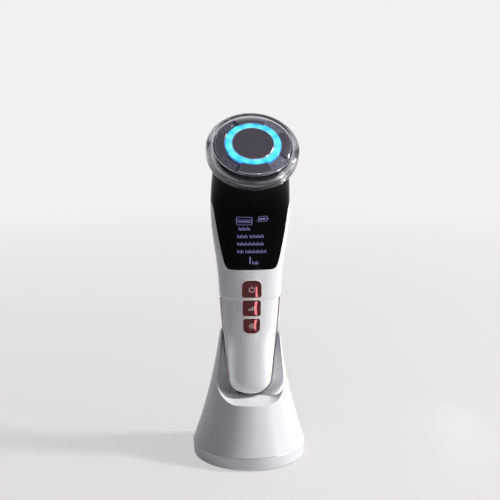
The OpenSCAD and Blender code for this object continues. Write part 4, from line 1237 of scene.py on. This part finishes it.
# %% Finish each remaining node
finish_of = {
    black_plastic: ["head_base", "motor_bracket", "pin_block"],
    switch_plastic: ["upper_switch", "middle_switch", "lower_switch"],
    white_shell: ["display_frame"],
    led_light: ["head_leds"],
    board_green: ["main_board", "stand_board"],
    board_black: ["head_board"],
    screw_steel: ["base_screws", "head_screws", "board_screws", "motor_shaft", "motor_weight"],
    gold_contact: ["charge_pins", "charge_contacts"],
    tin_plate: ["usb_socket"],
    motor_steel: ["vibration_motor"],
    cell_wrap: ["battery_cell"],
    wire_red: ["stand_leads", "battery_leads"],
    ribbon_film: ["head_ribbon"],
    display_glass: ["display_module"],
    foam: ["cell_pad"],
}
for finish, names in finish_of.items():
    for name in names:
        nodes[name].data.materials.clear()
        nodes[name].data.materials.append(finish)
print(sum(len(n) for n in finish_of.values()), "CAD nodes dressed")

# %% [markdown]
# ## Floor, backdrop and light
#
# The floor is pale and matte. The world is near white to the camera, to reflections and to what is seen
# through the clear head, and gentler where it lights the object. A small softbox high on the right gives
# the bright side and its clear edge. Strips of light show in the keys, the handle and the head as streaks.
# Two very weak lamps in the niche stand for the light that its white walls throw at each other.

# %% Floor
floor_reach, pale = 3000, rgb(243, 240, 242)
span = np.linspace(-floor_reach, floor_reach, 3)
floor_x, floor_y = np.meshgrid(span, span)
floor = build("floor", (np.stack([floor_x, floor_y, 0 * floor_x], -1), False, False), merge=False)
floor_finish = Finish("floor")
clouds = floor_finish.noise(60, 2.0)
floor_finish.use(Base_Color=floor_finish.mix(clouds, rgb(206, 204, 206), rgb(200, 198, 200)),
                 Roughness=clouds * 0.1 + 0.6, Specular_IOR_Level=0.2)
_, _, seen_on_floor = floor_finish.rays()
far = floor_finish.node("ShaderNodeVectorMath", {"operation": "LENGTH"}, {0: floor_finish.place()},
                        out="Value")
glow_share = seen_on_floor * floor_finish.math("ADD", far * 0.45, 0.62, clamp=True)
glow = floor_finish.node("ShaderNodeEmission", None, {"Color": pale})
blend = floor_finish.node("ShaderNodeMixShader", None, {0: glow_share, 2: glow})
floor_finish.tree.links.new(floor_finish.shader.outputs[0], blend.socket.node.inputs[1])
floor_finish.tree.links.new(blend.socket, floor_finish.tree.nodes["Material Output"].inputs["Surface"])
floor.data.materials.append(floor_finish.material)

# %% World
world = bpy.data.worlds.new("studio")
bpy.context.scene.world = world
studio = Nodes(world)
camera_ray, clear_ray, seen_ray = studio.rays()
direction = studio.node("ShaderNodeTexCoord", out="Generated")
back = studio.node("ShaderNodeSeparateXYZ", None, {"Vector": direction}, out="Y")
up = studio.node("ShaderNodeSeparateXYZ", None, {"Vector": direction}, out="Z")
backdrop = studio.math("MULTIPLY", back - studio.math("MAXIMUM", up, 0.0) * 0.5, 2.5, clamp=True)
behind = clear_ray * studio.math("MULTIPLY", back + 0.1, 1.6, clamp=True)
dim, fill = rgb(92, 90, 96), rgb(82, 80, 87)
seen = studio.mix(studio.math("MAXIMUM", camera_ray, studio.math("MAXIMUM", backdrop, behind)), dim, pale)
surround = studio.node("ShaderNodeBackground", None,
                       {"Color": studio.mix(seen_ray, fill, seen), "Strength": 1.0})
studio.tree.links.new(surround.socket, studio.tree.nodes["World Output"].inputs["Surface"])
print("world with", len(studio.tree.nodes), "nodes")


# %% Lamps
def lamp(name, place, width, height, watts, tone, toward=(0, 0, 0.1), lights=True, mirrored=True):
    """Soft rectangle at place that points toward another place; its light or mirror image can be off."""
    data = bpy.data.lights.new(name, "AREA")
    data.shape, data.size, data.size_y, data.energy, data.color = "RECTANGLE", width, height, watts, tone
    item = bpy.data.objects.new(name, data)
    item.location = place
    item.rotation_euler = (Vector(toward) - Vector(place)).to_track_quat("-Z", "Y").to_euler()
    item.visible_camera = False
    item.visible_diffuse, item.visible_glossy = lights, mirrored
    bpy.context.scene.collection.objects.link(item)


key_white, soft_white, cool_white = (1.0, 0.985, 0.97), (1.0, 0.99, 0.98), (0.98, 0.98, 1.0)
lamp("right softbox", (0.90, -0.16, 0.87), 0.14, 0.20, 17.0, key_white)
lamp("front strip", (0.84, -0.54, 0.33), 0.10, 0.30, 1.6, soft_white)
lamp("key strip", (0.066, -0.30, 0.04), 0.026, 0.054, 0.045, soft_white, lights=False)
lamp("low strip", (0.16, 0.09, 0.03), 0.035, 0.035, 0.08, soft_white, (0, -0.02, 0.15), lights=False)
lamp("right bounce", (0.0165, -0.013, 0.053), 0.004, 0.034, 0.0026, soft_white, (0.0175, 0.006, 0.056),
     mirrored=False)
lamp("left bounce", (-0.0165, -0.013, 0.053), 0.004, 0.034, 0.0006, cool_white, (-0.0175, 0.006, 0.056),
     mirrored=False)
print(len(bpy.data.lights), "lamps")

# %% [markdown]
# ## Colour of the result
#
# The view transform is Standard, so that a colour written in screen values comes out as written.

# %% Colours of the result
bpy.context.scene.view_settings.view_transform = "Standard"
